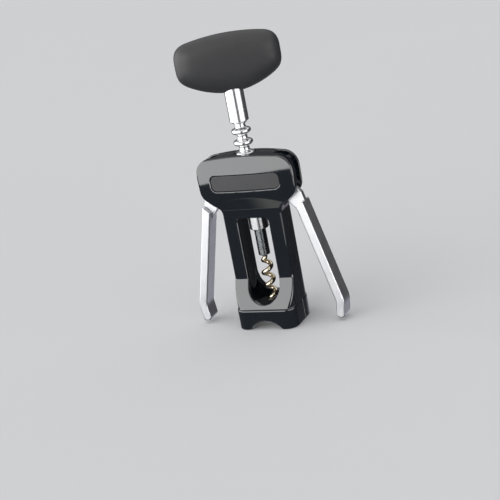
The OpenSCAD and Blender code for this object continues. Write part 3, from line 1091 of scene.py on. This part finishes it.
    def hollows(self, x: Array, y: Array, z: Array) -> Iterator[tuple[Array, float]]:
        """Hollows of the body, each with the rounding of its edge.

        Args:
            x: First coordinate.
            y: Second coordinate.
            z: Third coordinate.

        Yields:
            Distance to the hollow, and the radius of its lip.
        """
        pivot = joint_place("right_swing")
        deep, wide, round_axis = np.abs(y), np.abs(x), np.hypot(x, y)
        arch_r = (self.arch_w ** 2 / 4 + self.arch_h ** 2) / (2 * self.arch_h)
        channel_low = self.window_top - self.channel_over
        yield self.window().distance(x, z), self.window_lip
        yield np.maximum(round_axis - self.cork_r, z - self.window_top), self.window_lip
        yield np.maximum(round_axis - self.neck_r, z - self.neck_depth), self.neck_lip
        yield np.hypot(x, z - self.arch_h + arch_r) - arch_r, self.arch_lip
        yield np.maximum(round_axis - self.channel_r, channel_low - z), self.channel_lip
        for node in ("top_bush", "lower_bush"):
            low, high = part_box(node)
            yield np.maximum(round_axis - self.bush_r, np.maximum(low.z - z, z - high.z)), self.fit_lip
        u, v = wide - pivot.x, z - pivot.z
        swing = np.minimum(np.hypot(u, v) - self.sweep_r, self.sweep().distance(u, v))
        yield np.maximum(swing, deep - self.slot_w / 2), self.slot_lip
        yield np.maximum(np.hypot(u, v) - self.pin_r, deep - self.pin_l / 2), self.fit_lip
        screw_end = self.screw_seat - self.screw_l
        for at_x, at_z in (self.bridge_screw, self.tower_screw):
            round_screw = np.hypot(wide - at_x, z - at_z)
            yield np.maximum(round_screw - self.screw_r, screw_end - y), self.fit_lip
            yield np.maximum(round_screw - self.screw_head_r, self.screw_seat - y), self.screw_lip

    def half(self, whole: Field, half: Half) -> Field:
        """One half shell, parted from the whole body.

        Args:
            whole: Distance field of the whole body.
            half: Which half.

        Returns:
            Distance field of the half.
        """
        def distance(x: Array, y: Array, z: Array) -> Array:
            """Distance to the half shell."""
            return round_cut(whole(x, y, z), self.seam - half.value * y, self.seam_r)

        return distance

    def build(self, net: SurfaceNet) -> None:
        """Makes and dresses both shells.

        Args:
            net: The net that meshes them.
        """
        low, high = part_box("rear_shell")
        whole = self.solid()
        for half, name in ((Half.FRONT, "front_shell"), (Half.REAR, "rear_shell")):
            reach = (min(0.0, half.value * high.y), max(0.0, half.value * high.y))
            room = (low.x, reach[0], low.z), (high.x, reach[1], high.z)
            mesh = net.mesh(f"{name}_moulding", self.half(whole, half), *room, skin=whole)
            place(f"{name}_moulding", mesh, SHELL, Body.SHELLS, name)


@dataclass(frozen=True)
class LabelPlate:
    """Bare inset plate in the recess on the front of the head."""

    length: float = 45.4 * MM
    height: float = 9.8 * MM
    corner_r: float = 3.4 * MM
    depth: float = 0.5 * MM
    thickness: float = 0.6 * MM
    edge_r: float = 0.2 * MM

    def build(self, net: SurfaceNet) -> None:
        """Makes and dresses the plate.

        Args:
            net: The net that meshes it.
        """
        low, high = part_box("label_plate")
        middle_z = (low.z + high.z) / 2
        shells = Shells()

        def distance(x: Array, y: Array, z: Array) -> Array:
            """Distance to the plate.

            Args:
                x: First coordinate.
                y: Second coordinate.
                z: Third coordinate.

            Returns:
                Distance, negative inside.
            """
            face = shells.front_face(x, y)
            layer = np.abs(face + self.depth + self.thickness / 2) - self.thickness / 2
            outline = round_box(x, z - middle_z, self.length, self.height, self.corner_r)
            return round_cut(outline, layer, self.edge_r)

        mesh = net.mesh("label_plate_inset", distance, low, high)
        place("label_plate_inset", mesh, PLATE, Body.SHELLS, "label_plate")


@dataclass(frozen=True)
class Levers:
    """Pair of cast levers: toothed sector, web and bent arm."""

    # Toothed sector
    gear_teeth: int = 12
    sector_teeth: int = 6
    pitch: float = 7.2 * MM
    tooth_t: float = 3.3 * MM
    tooth_reach: float = 1.425 * MM
    tip_gap: float = 0.35 * MM
    tooth_sink: float = 1 * MM
    pressure: float = math.radians(20)
    flank_steps: int = 7
    hub_r: float = 8 * MM
    bore_r: float = 2.05 * MM
    bore_edge_r: float = 0.15 * MM
    gear_d: float = 6 * MM
    gear_edge_r: float = 0.5 * MM
    # Angle off the sector's sides, in radians, at which its distance stops growing
    side_limit: float = 1.5
    # Web
    web_d: float = 4 * MM
    web_w: float = 10.5 * MM
    web_edge_r: float = 0.5 * MM
    web_join_r: float = 0.6 * MM
    # Arm with its bent tip
    arm_out: float = 13 * MM
    arm_drop: float = 15.2 * MM
    arm_lean: float = math.radians(13.8)
    arm_cut: float = math.radians(31)
    arm_l: float = 65 * MM
    arm_t: float = 5.4 * MM
    arm_d: float = 11.6 * MM
    arm_edge_r: float = 0.8 * MM
    tip_l: float = 11 * MM
    tip_bend: float = math.radians(21)
    bend_r: float = 11 * MM
    tip_r: float = 2.2 * MM
    top_r: float = 0.6 * MM

    @property
    def pitch_r(self) -> float:
        """Radius at which the gear rolls along the rack."""
        return self.gear_teeth * self.pitch / math.tau

    @property
    def root_r(self) -> float:
        """Radius at the foot of the teeth."""
        return self.pitch_r - self.tooth_reach - self.tip_gap

    def arm_line(self) -> tuple[Array, Array, Array]:
        """Upper end, way down and way out of the right arm, about its pivot."""
        down = np.array((math.sin(self.arm_lean), -math.cos(self.arm_lean)))
        return np.array((self.arm_out, -self.arm_drop)), down, np.array((-down[1], down[0]))

    def arm(self) -> Outline:
        """Right arm with its bent tip, about its pivot.

        Returns:
            The outline across and up.
        """
        top, down, out = self.arm_line()
        lean = self.arm_lean - self.tip_bend
        tip_down = np.array((math.sin(lean), -math.cos(lean)))
        tip_out = np.array((-tip_down[1], tip_down[0]))
        half = self.arm_t / 2
        bend = top + self.arm_l * down
        end = bend + self.tip_l * tip_down
        slant = half * math.tan(self.arm_cut) * down
        miter = unit(out + tip_out) * half / math.cos(self.tip_bend / 2)
        corners = [
            (top - half * out + slant, self.top_r),
            (bend - miter, self.bend_r),
            (end - half * tip_out, self.tip_r),
            (end + half * tip_out, self.tip_r),
            (bend + miter, self.bend_r + self.arm_t),
            (top + half * out - slant, self.top_r),
        ]
        return Outline.through([(p[0], p[1], r) for p, r in corners])

    def tooth(self) -> Outline:
        """One gear tooth along +X, with involute flanks, rooted in the gear.

        Returns:
            The outline across and up.
        """
        pitch_r = self.pitch_r
        base_r = pitch_r * math.cos(self.pressure)
        tip_r = pitch_r + self.tooth_reach - self.tip_gap

        def roll(radius: float) -> float:
            """Angle that the involute turns up to a radius."""
            angle = math.acos(min(1.0, base_r / radius))
            return math.tan(angle) - angle

        def flank(radius: float, side: float) -> tuple[float, float, float]:
            """Point of a flank at a radius."""
            angle = side * (self.tooth_t / 2 / pitch_r + roll(pitch_r) - roll(max(radius, base_r)))
            return radius * math.cos(angle), radius * math.sin(angle), 0.0

        radii = np.linspace(base_r, tip_r, self.flank_steps)
        root = self.root_r - self.tooth_sink
        lower = [flank(root, -1.0), *[flank(r, -1.0) for r in radii]]
        upper = [*[flank(r, 1.0) for r in radii[::-1]], flank(root, 1.0)]
        return Outline.through(lower + upper)

    def gear(self, u: Array, v: Array) -> Array:
        """Distance to the toothed sector with its hub.

        Args:
            u: Coordinate across, from the pivot.
            v: Coordinate up, from the pivot.

        Returns:
            Distance, negative inside.
        """
        step = math.tau / self.gear_teeth
        first = math.pi + step
        middle = first - (self.sector_teeth - 1) * step / 2
        tooth = self.tooth()
        off_middle = (np.arctan2(v, u) - middle + math.pi) % math.tau - math.pi
        off_side = np.abs(off_middle) - self.sector_teeth * step / 2
        radius = np.hypot(u, v)
        side = radius * np.sin(np.clip(off_side, -self.side_limit, self.side_limit))
        shape = np.minimum(radius - self.hub_r, np.maximum(radius - self.root_r, side))
        for i in range(self.sector_teeth):
            c, s = math.cos(first - i * step), math.sin(first - i * step)
            shape = np.minimum(shape, tooth.distance(u * c + v * s, v * c - u * s))
        return shape

    def solid(self) -> Field:
        """Right lever.

        Returns:
            Its distance field.
        """
        pivot = joint_place("right_swing")
        arm = self.arm()
        top, _, out = self.arm_line()
        web_l = float(np.linalg.norm(top))
        web_way = top / web_l

        def distance(x: Array, y: Array, z: Array) -> Array:
            """Distance to the lever.

            Args:
                x: First coordinate.
                y: Second coordinate.
                z: Third coordinate.

            Returns:
                Distance, negative inside.
            """
            u, v, deep = x - pivot.x, z - pivot.z, np.abs(y)
            bar = round_cut(arm.distance(u, v), deep - self.arm_d / 2, self.arm_edge_r)
            along = u * web_way[0] + v * web_way[1]
            across = v * web_way[0] - u * web_way[1]
            length = web_l + self.arm_t
            strip = round_box(along - length / 2, across, length, self.web_w, 0.0)
            face = (u - top[0]) * out[0] + (v - top[1]) * out[1] - self.arm_t / 2
            web = round_cut(np.maximum(strip, face), deep - self.web_d / 2, self.web_edge_r)
            gear = round_cut(self.gear(u, v), deep - self.gear_d / 2, self.gear_edge_r)
            lever = round_join(round_join(bar, web, self.web_join_r), gear, self.web_join_r)
            return round_cut(lever, self.bore_r - np.hypot(u, v), self.bore_edge_r)

        return distance

    def build(self, net: SurfaceNet) -> None:
        """Makes and dresses both levers.

        Args:
            net: The net that meshes them.
        """
        right = self.solid()

        def left(x: Array, y: Array, z: Array) -> Array:
            """Distance to the left lever."""
            return right(-x, y, z)

        sides = ((left, "left_lever", Body.LEFT_LEVER), (right, "right_lever", Body.RIGHT_LEVER))
        for field, node, body in sides:
            mesh = net.mesh(f"{node}_casting", field, *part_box(node))
            place(f"{node}_casting", mesh, LEVER, body, node)


@dataclass(frozen=True)
class Rack:
    """Turned ring rack and its end collar."""

    ring_r: float = 6 * MM
    root_r: float = 3.15 * MM
    bore_r: float = 2.05 * MM
    pitch: float = 7.2 * MM
    ring_t: float = 3.3 * MM
    flank: float = math.radians(20)
    land_ring_z: float = 80.6 * MM
    rings: int = 6
    crest_r: float = 1.4 * MM
    valley_r: float = 1.4 * MM
    foot_edge_r: float = 0.5 * MM
    neck_edge_r: float = 0.1 * MM
    collar_edges: tuple[float, ...] = (0.2 * MM, 0.5 * MM, 0.3 * MM, 0.2 * MM)

    def profile(self) -> Outline:
        """Rack in radius and height: plain land, rings and neck.

        Returns:
            The profile.
        """
        low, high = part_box("ring_rack")
        lean = (self.ring_r - self.root_r) / 2 * math.tan(self.flank)
        tip, foot = self.ring_t / 2 - lean, self.ring_t / 2 + lean
        corners = [
            (self.bore_r, low.z, 0.0),
            (self.ring_r, low.z, self.foot_edge_r),
            (self.ring_r, self.land_ring_z + tip, self.crest_r),
            (self.root_r, self.land_ring_z + foot, self.valley_r),
        ]
        for k in range(1, self.rings + 1):
            z = self.land_ring_z + k * self.pitch
            corners += [
                (self.root_r, z - foot, self.valley_r),
                (self.ring_r, z - tip, self.crest_r),
                (self.ring_r, z + tip, self.crest_r),
                (self.root_r, z + foot, self.valley_r),
            ]
        corners += [(self.root_r, high.z, self.neck_edge_r), (self.bore_r, high.z, 0.0)]
        return Outline.through(corners, TURNED_STEPS)

    def build(self) -> None:
        """Makes and dresses the rack and its collar."""
        collar = sleeve(*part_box("end_collar"), self.bore_r, self.ring_r, self.collar_edges)
        place_turned("ring_rack", self.profile(), RACK, Body.RACK)
        place_turned("end_collar", collar, RACK, Body.RACK)


@dataclass(frozen=True)
class Handle:
    """Soft bar handle on its chrome post."""

    # Grip
    turn: float = math.radians(25)
    width: float = 64 * MM
    depth: float = 20.5 * MM
    shoulder: float = 2.4 * MM
    sweep: float = 7.4 * MM
    corner_r: float = 8.5 * MM
    crown: float = 1.2 * MM
    crown_limit: float = 2.0
    blend: float = 5 * MM
    even_r: float = 3 * MM
    even_steps: int = 8
    edge_steps: int = 12
    # Hollow for the core, and seat of the post
    core_w: float = 32 * MM
    core_d: float = 9 * MM
    seat_fit: float = 0.02 * MM
    seat_lip: float = 0.5 * MM
    # Post
    post_r: float = 5.9 * MM
    post_bore_r: float = 2.02 * MM
    post_bore_edge_r: float = 0.1 * MM
    post_bevel: float = 0.7 * MM
    post_bevel_r: float = 0.3 * MM
    post_top_r: float = 0.2 * MM

    def spine(self) -> Outline:
        """Outline that the grip's rounding is rolled along, seen from the front.

        Returns:
            The outline across and up.
        """
        low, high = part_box("handle_grip")
        end = self.width / 2 - self.corner_r
        share = np.linspace(-1.0, 1.0, 2 * self.edge_steps + 1)
        bottom = [(s * end, low.z + self.corner_r + self.sweep * s * s, 0.0) for s in share]
        top = [(s * end, high.z - self.corner_r - self.shoulder * s * s, 0.0) for s in share[::-1]]
        return Outline.through(bottom + top)

    def solid(self) -> Field:
        """Grip before its turn about the axis.

        Returns:
            Its distance field.
        """
        low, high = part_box("handle_grip")
        core_low, core_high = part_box("handle_core")
        spine = self.spine()
        middle_z = (low.z + high.z) / 2
        angles = [math.tau * k / self.even_steps for k in range(self.even_steps)]
        ring = [(self.even_r * math.cos(a), self.even_r * math.sin(a)) for a in angles]

        def even(x: Array, z: Array) -> Array:
            """Distance from the spine, evened out over a ring round each point."""
            return sum(spine.distance(x + dx, z + dz) for dx, dz in ring) / self.even_steps

        def soft(off: Array) -> Array:
            """Distance outside the spine, with a gradual start."""
            return (off + np.hypot(off, self.blend)) / 2

        def distance(x: Array, y: Array, z: Array) -> Array:
            """Distance to the grip.

            Args:
                x: First coordinate.
                y: Second coordinate.
                z: Third coordinate.

            Returns:
                Distance, negative inside.
            """
            rim = soft(even(x, z)) / soft(np.float64(self.corner_r))
            crown = (2 * x / self.width) ** 2 + ((z - middle_z) / (high.z - middle_z)) ** 2
            half_d = self.depth / 2 - self.crown * np.minimum(crown, self.crown_limit)
            pillow = (np.hypot(rim, y / half_d) - 1.0) * self.corner_r
            core = np.maximum(np.abs(x) - self.core_w / 2, np.abs(y) - self.core_d / 2)
            core = np.maximum(core, np.maximum(core_low.z - z, z - core_high.z))
            seat = np.maximum(np.hypot(x, y) - self.post_r - self.seat_fit, z - core_low.z)
            return round_cut(np.maximum(pillow, -core), -seat, self.seat_lip)

        return distance

    def post(self) -> Outline:
        """Post in radius and height, with its bevelled foot.

        Returns:
            The profile.
        """
        low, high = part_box("handle_post")
        return Outline.through([
            (self.post_bore_r, low.z, self.post_bore_edge_r),
            (self.post_r - self.post_bevel, low.z, self.post_bevel_r),
            (self.post_r, low.z + self.post_bevel, self.post_bevel_r),
            (self.post_r, high.z, self.post_top_r),
            (self.post_bore_r, high.z, self.post_bore_edge_r),
        ], TURNED_STEPS)

    def build(self, net: SurfaceNet) -> None:
        """Makes and dresses the grip and its post.

        Args:
            net: The net that meshes the grip.
        """
        low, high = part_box("handle_grip")
        room = (-self.width / 2, -self.depth / 2, low.z), (self.width / 2, self.depth / 2, high.z)
        grip = net.mesh("handle_grip_moulding", self.solid(), *room)
        grip.transform(Matrix.Rotation(self.turn, 4, "Z"))
        place("handle_grip_moulding", grip, GRIP, Body.SCREW, "handle_grip")
        place_turned("handle_post", self.post(), RACK, Body.SCREW)


@dataclass(frozen=True)
class Screw:
    """Steel shank and the wound wire worm below it."""

    # Shank
    shank_r: float = 3.65 * MM
    shank_fit: float = 0.02 * MM
    shank_edges: tuple[float, ...] = (0.1 * MM, 0.5 * MM, 0.2 * MM, 0.1 * MM)
    # Worm, from its stem in the shank to its point
    start: float = math.radians(-78)
    wire_r: float = 1.5 * MM
    worm_r: float = 4.2 * MM
    pitch: float = 8.7 * MM
    turns: float = 3.5
    stem_l: float = 6 * MM
    spread_turns: float = 0.5
    point_turns: float = 0.6
    point_share: float = 0.05
    # Steps of a turn, sides of the wire, and half the stretch that gives its direction
    steps: int = 64
    sides: int = 20
    way_turns: float = 0.01

    def worm(self) -> Mesh:
        """Worm as a tube along its wire, from the stem in the shank to the point.

        Returns:
            Its mesh.
        """
        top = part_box("shank")[0].z
        stem_turns = (self.stem_l + self.wire_r) / self.pitch
        rows = round((self.turns + stem_turns) * self.steps)
        turns = np.linspace(-stem_turns, self.turns, rows + 1)

        def wire(t: Array) -> Array:
            """Middle of the wire.

            Args:
                t: Turns from the upper end of the coil.

            Returns:
                Points, one row each.
            """
            angle = self.start - math.tau * t
            radius = (self.worm_r - self.wire_r) * smooth_step(t, 0.0, self.spread_turns)
            height = top - self.wire_r - self.pitch * t
            return np.stack([radius * np.cos(angle), radius * np.sin(angle), height], axis=-1)

        way = unit_rows(wire(turns + self.way_turns) - wire(turns - self.way_turns))
        angle = self.start - math.tau * turns
        out = np.stack([np.cos(angle), np.sin(angle), np.zeros_like(angle)], axis=-1)
        out = unit_rows(out - (out * way).sum(axis=1, keepdims=True) * way)
        up = np.cross(way, out)
        to_point = np.minimum(1, (self.turns - turns) / self.point_turns)
        size = self.wire_r * np.maximum(self.point_share, np.sqrt(to_point))
        round_wire = np.arange(self.sides) * math.tau / self.sides
        ray = np.cos(round_wire)[:, None] * out[:, None] + np.sin(round_wire)[:, None] * up[:, None]
        points = wire(turns)[:, None] + size[:, None, None] * ray
        ends = [wire(turns[:1]), wire(turns[-1:])]
        count = len(turns) * self.sides
        ring = np.arange(self.sides)
        following = (ring + 1) % self.sides
        last = count - self.sides
        caps = [(count, a, b) for a, b in zip(following, ring)]
        caps += [(count + 1, last + a, last + b) for a, b in zip(ring, following)]
        tube = grid_faces(len(turns), self.sides, False)[:, ::-1]
        faces = tube.tolist() + np.array(caps).tolist()
        return raw_mesh("worm_wire", np.concatenate([points.reshape(-1, 3), *ends]), faces)

    def build(self) -> None:
        """Makes and dresses the shank and the worm."""
        bore = self.wire_r + self.shank_fit
        shank = sleeve(*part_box("shank"), bore, self.shank_r, self.shank_edges)
        place_turned("shank", shank, STEEL, Body.SCREW)
        place("worm_wire", self.worm(), WORM, Body.SCREW, "worm")


@dataclass(frozen=True)
class Panel:
    """Patch of the studio's walls, by the directions that it fills.

    Attributes:
        azimuth: First and last bearing in degrees, from the front towards +X.
        elevation: Lowest and highest elevation in degrees.
        glow: Brightness of each colour.
        blur: Half width in degrees over which its sides and its lower and upper edges fade.
    """

    azimuth: tuple[float, float]
    elevation: tuple[float, float]
    glow: Colour
    blur: tuple[float, float] = (2.0, 2.0)

    def over(self, nodes: Nodes, under: object, azimuth: Socket, elevation: Socket) -> Socket:
        """The panel laid over what is behind it.

        Args:
            nodes: Nodes of the studio's light.
            under: Brightness behind the panel.
            azimuth: Bearing of a direction.
            elevation: Elevation of a direction.

        Returns:
            Brightness with the panel.
        """
        first, last = (math.radians(a) for a in self.azimuth)
        low, high = (math.radians(e) for e in self.elevation)
        side, edge = (math.radians(b) for b in self.blur)
        half = (last - first) / 2
        offset = nodes.sum_up("SUBTRACT", azimuth, (first + last) / 2)
        off = nodes.sum_up("ABSOLUTE", nodes.sum_up("WRAP", offset, math.pi, -math.pi))
        across = nodes.ramp(off, half + side, half - side)
        upward = nodes.ramp(elevation, low - edge, low + edge)
        downward = nodes.ramp(elevation, high + edge, high - edge)
        share = nodes.sum_up("MULTIPLY", across, nodes.sum_up("MULTIPLY", upward, downward))
        return nodes.mixed(share, under, self.glow)


def bearing(azimuth: float, elevation: float) -> Vector:
    """Direction at an azimuth from the front towards +X and an elevation, in radians."""
    flat = math.cos(elevation)
    return Vector((flat * math.sin(azimuth), -flat * math.cos(azimuth), math.sin(elevation)))


@dataclass(frozen=True)
class Studio:
    """Pale floor, soft light and the camera at the photograph's viewing angle."""

    # Floor
    floor_size: float = 20.0
    floor_colour: Colour = (0.645, 0.65, 0.665)
    floor_tint: Colour = (0.63, 0.635, 0.65)
    floor_drift: float = 0.4
    floor_rough: float = 0.9
    floor_level: float = 0.1
    # Light, with the horizon in degrees, and the fade of crisp panels
    ceiling: Colour = (0.88, 0.88, 0.88)
    white: Colour = (2.6, 2.6, 2.6)
    horizon: float = -14.55
    crisp: tuple[float, float] = (2.0, 0.05)
    # Camera: where it stands from a point on the axis, how it is turned, and its lens
    aim_z: float = 85.05 * MM
    azimuth: float = math.radians(25.43)
    elevation: float = math.radians(15.21)
    distance: float = 853.4 * MM
    yaw: float = math.radians(26.02)
    pitch: float = math.radians(17.57)
    roll: float = math.radians(-10.93)
    focal_pixels: float = 1390.47
    image_pixels: float = 500.0

    def panels(self) -> list[Panel]:
        """White walls, dark flags and low cards round the part.

        Returns:
            The panels, each laid over those before it.
        """
        low = self.horizon
        ground = Panel((-190, 190), (-100, low), (0.1, 0.107, 0.118), self.crisp)
        front_wall = Panel((-102, 31), (low, 40), self.white, self.crisp)
        side_wall = Panel((31, 96), (-13, 10), self.white, self.crisp)
        front_flag = Panel((9, 40), (low, 40), (0.03, 0.03, 0.03), (7.0, 0.05))
        rear_flag = Panel((96, 252), (-20, 31), (0.06, 0.06, 0.065), (4.0, 2.0))
        rear_card = Panel((194, 228), (4, 31), (0.12, 0.12, 0.125))
        low_rear_card = Panel((159, 200), (-45, -20), (0.42, 0.41, 0.47))
        low_front_card = Panel((-37.3, 0), (-60, -38), (0.54, 0.56, 0.5), (0.7, 2.0))
        walls = [ground, front_wall, side_wall, front_flag, rear_flag]
        return [*walls, rear_card, low_rear_card, low_front_card]

    def floor(self) -> None:
        """Pale plain floor that the part stands on, kept out of its mirror images."""
        half = self.floor_size / 2
        corners = np.array([(-half, -half, 0), (half, -half, 0), (half, half, 0), (-half, half, 0)])
        mesh = raw_mesh("floor", corners, [(0, 1, 2, 3)])
        recipe = Recipe("pale_floor")
        drift = recipe.noise(self.floor_drift, CLOUD_DETAIL)
        recipe.shade(Base_Color=recipe.mixed(drift, self.floor_colour, self.floor_tint))
        recipe.shade(Roughness=self.floor_rough, Specular_IOR_Level=self.floor_level)
        mesh.materials.append(recipe.material)
        floor = put("floor", mesh)
        floor.visible_glossy = False

    def walls(self) -> None:
        """Soft light from the studio's walls and ceiling."""
        world = bpy.data.worlds.new("studio")
        world.use_nodes = True
        nodes = Nodes(world.node_tree)
        split = nodes.add("ShaderNodeSeparateXYZ")
        nodes.feed(split.inputs[0], nodes.add("ShaderNodeTexCoord").outputs["Generated"])
        x, y, z = split.outputs
        azimuth = nodes.sum_up("ARCTAN2", x, nodes.sum_up("MULTIPLY", y, -1.0))
        elevation = nodes.sum_up("ARCSINE", z)
        glow: object = self.ceiling
        for panel in self.panels():
            glow = panel.over(nodes, glow, azimuth, elevation)
        nodes.feed(world.node_tree.nodes["Background"].inputs["Color"], glow)
        bpy.context.scene.world = world

    def camera(self) -> None:
        """Camera that stands where the photograph was taken from."""
        lens = bpy.data.cameras.new("photo_camera")
        lens.lens = self.focal_pixels * lens.sensor_width / self.image_pixels
        camera = put("photo_camera", lens)
        ahead = -bearing(self.yaw, self.pitch)
        right = Vector((math.cos(self.yaw), math.sin(self.yaw), 0.0))
        up = right.cross(ahead)
        across = right * math.cos(self.roll) + up * math.sin(self.roll)
        above = up * math.cos(self.roll) - right * math.sin(self.roll)
        aim = Vector((0.0, 0.0, self.aim_z))
        stand = Matrix.Translation(aim + self.distance * bearing(self.azimuth, self.elevation))
        camera.matrix_world = stand @ Matrix((across, above, -ahead)).transposed().to_4x4()
        bpy.context.scene.camera = camera

    def build(self) -> None:
        """Sets the stage."""
        self.floor()
        self.walls()
        self.camera()
        bpy.context.scene.view_settings.view_transform = "Standard"


SHELL_NET = SurfaceNet(0.42 * MM, 0.3)
PLATE_NET = SurfaceNet(0.25 * MM, 0.4)
LEVER_NET = SurfaceNet(0.36 * MM, 0.35)
GRIP_NET = SurfaceNet(0.7 * MM, 0.6)


def main() -> None:
    """Builds the pieces and the stage."""
    logging.basicConfig(level=logging.INFO, format="%(name)s: %(message)s")
    coarse = 1.0
    Shells().build(SHELL_NET.coarser(coarse))
    LabelPlate().build(PLATE_NET)
    Levers().build(LEVER_NET.coarser(coarse))
    Rack().build()
    Handle().build(GRIP_NET.coarser(coarse))
    Screw().build()
    dress(BUSH, "top_bush", "lower_bush", "handle_core")
    dress(STEEL, "shell_screws", "left_pivot_pin", "right_pivot_pin", "thrust_washer")
    dress(STEEL, "handle_pin", "spindle", "shank_pin")
    Studio().build()


if __name__ == "__main__":
    main()
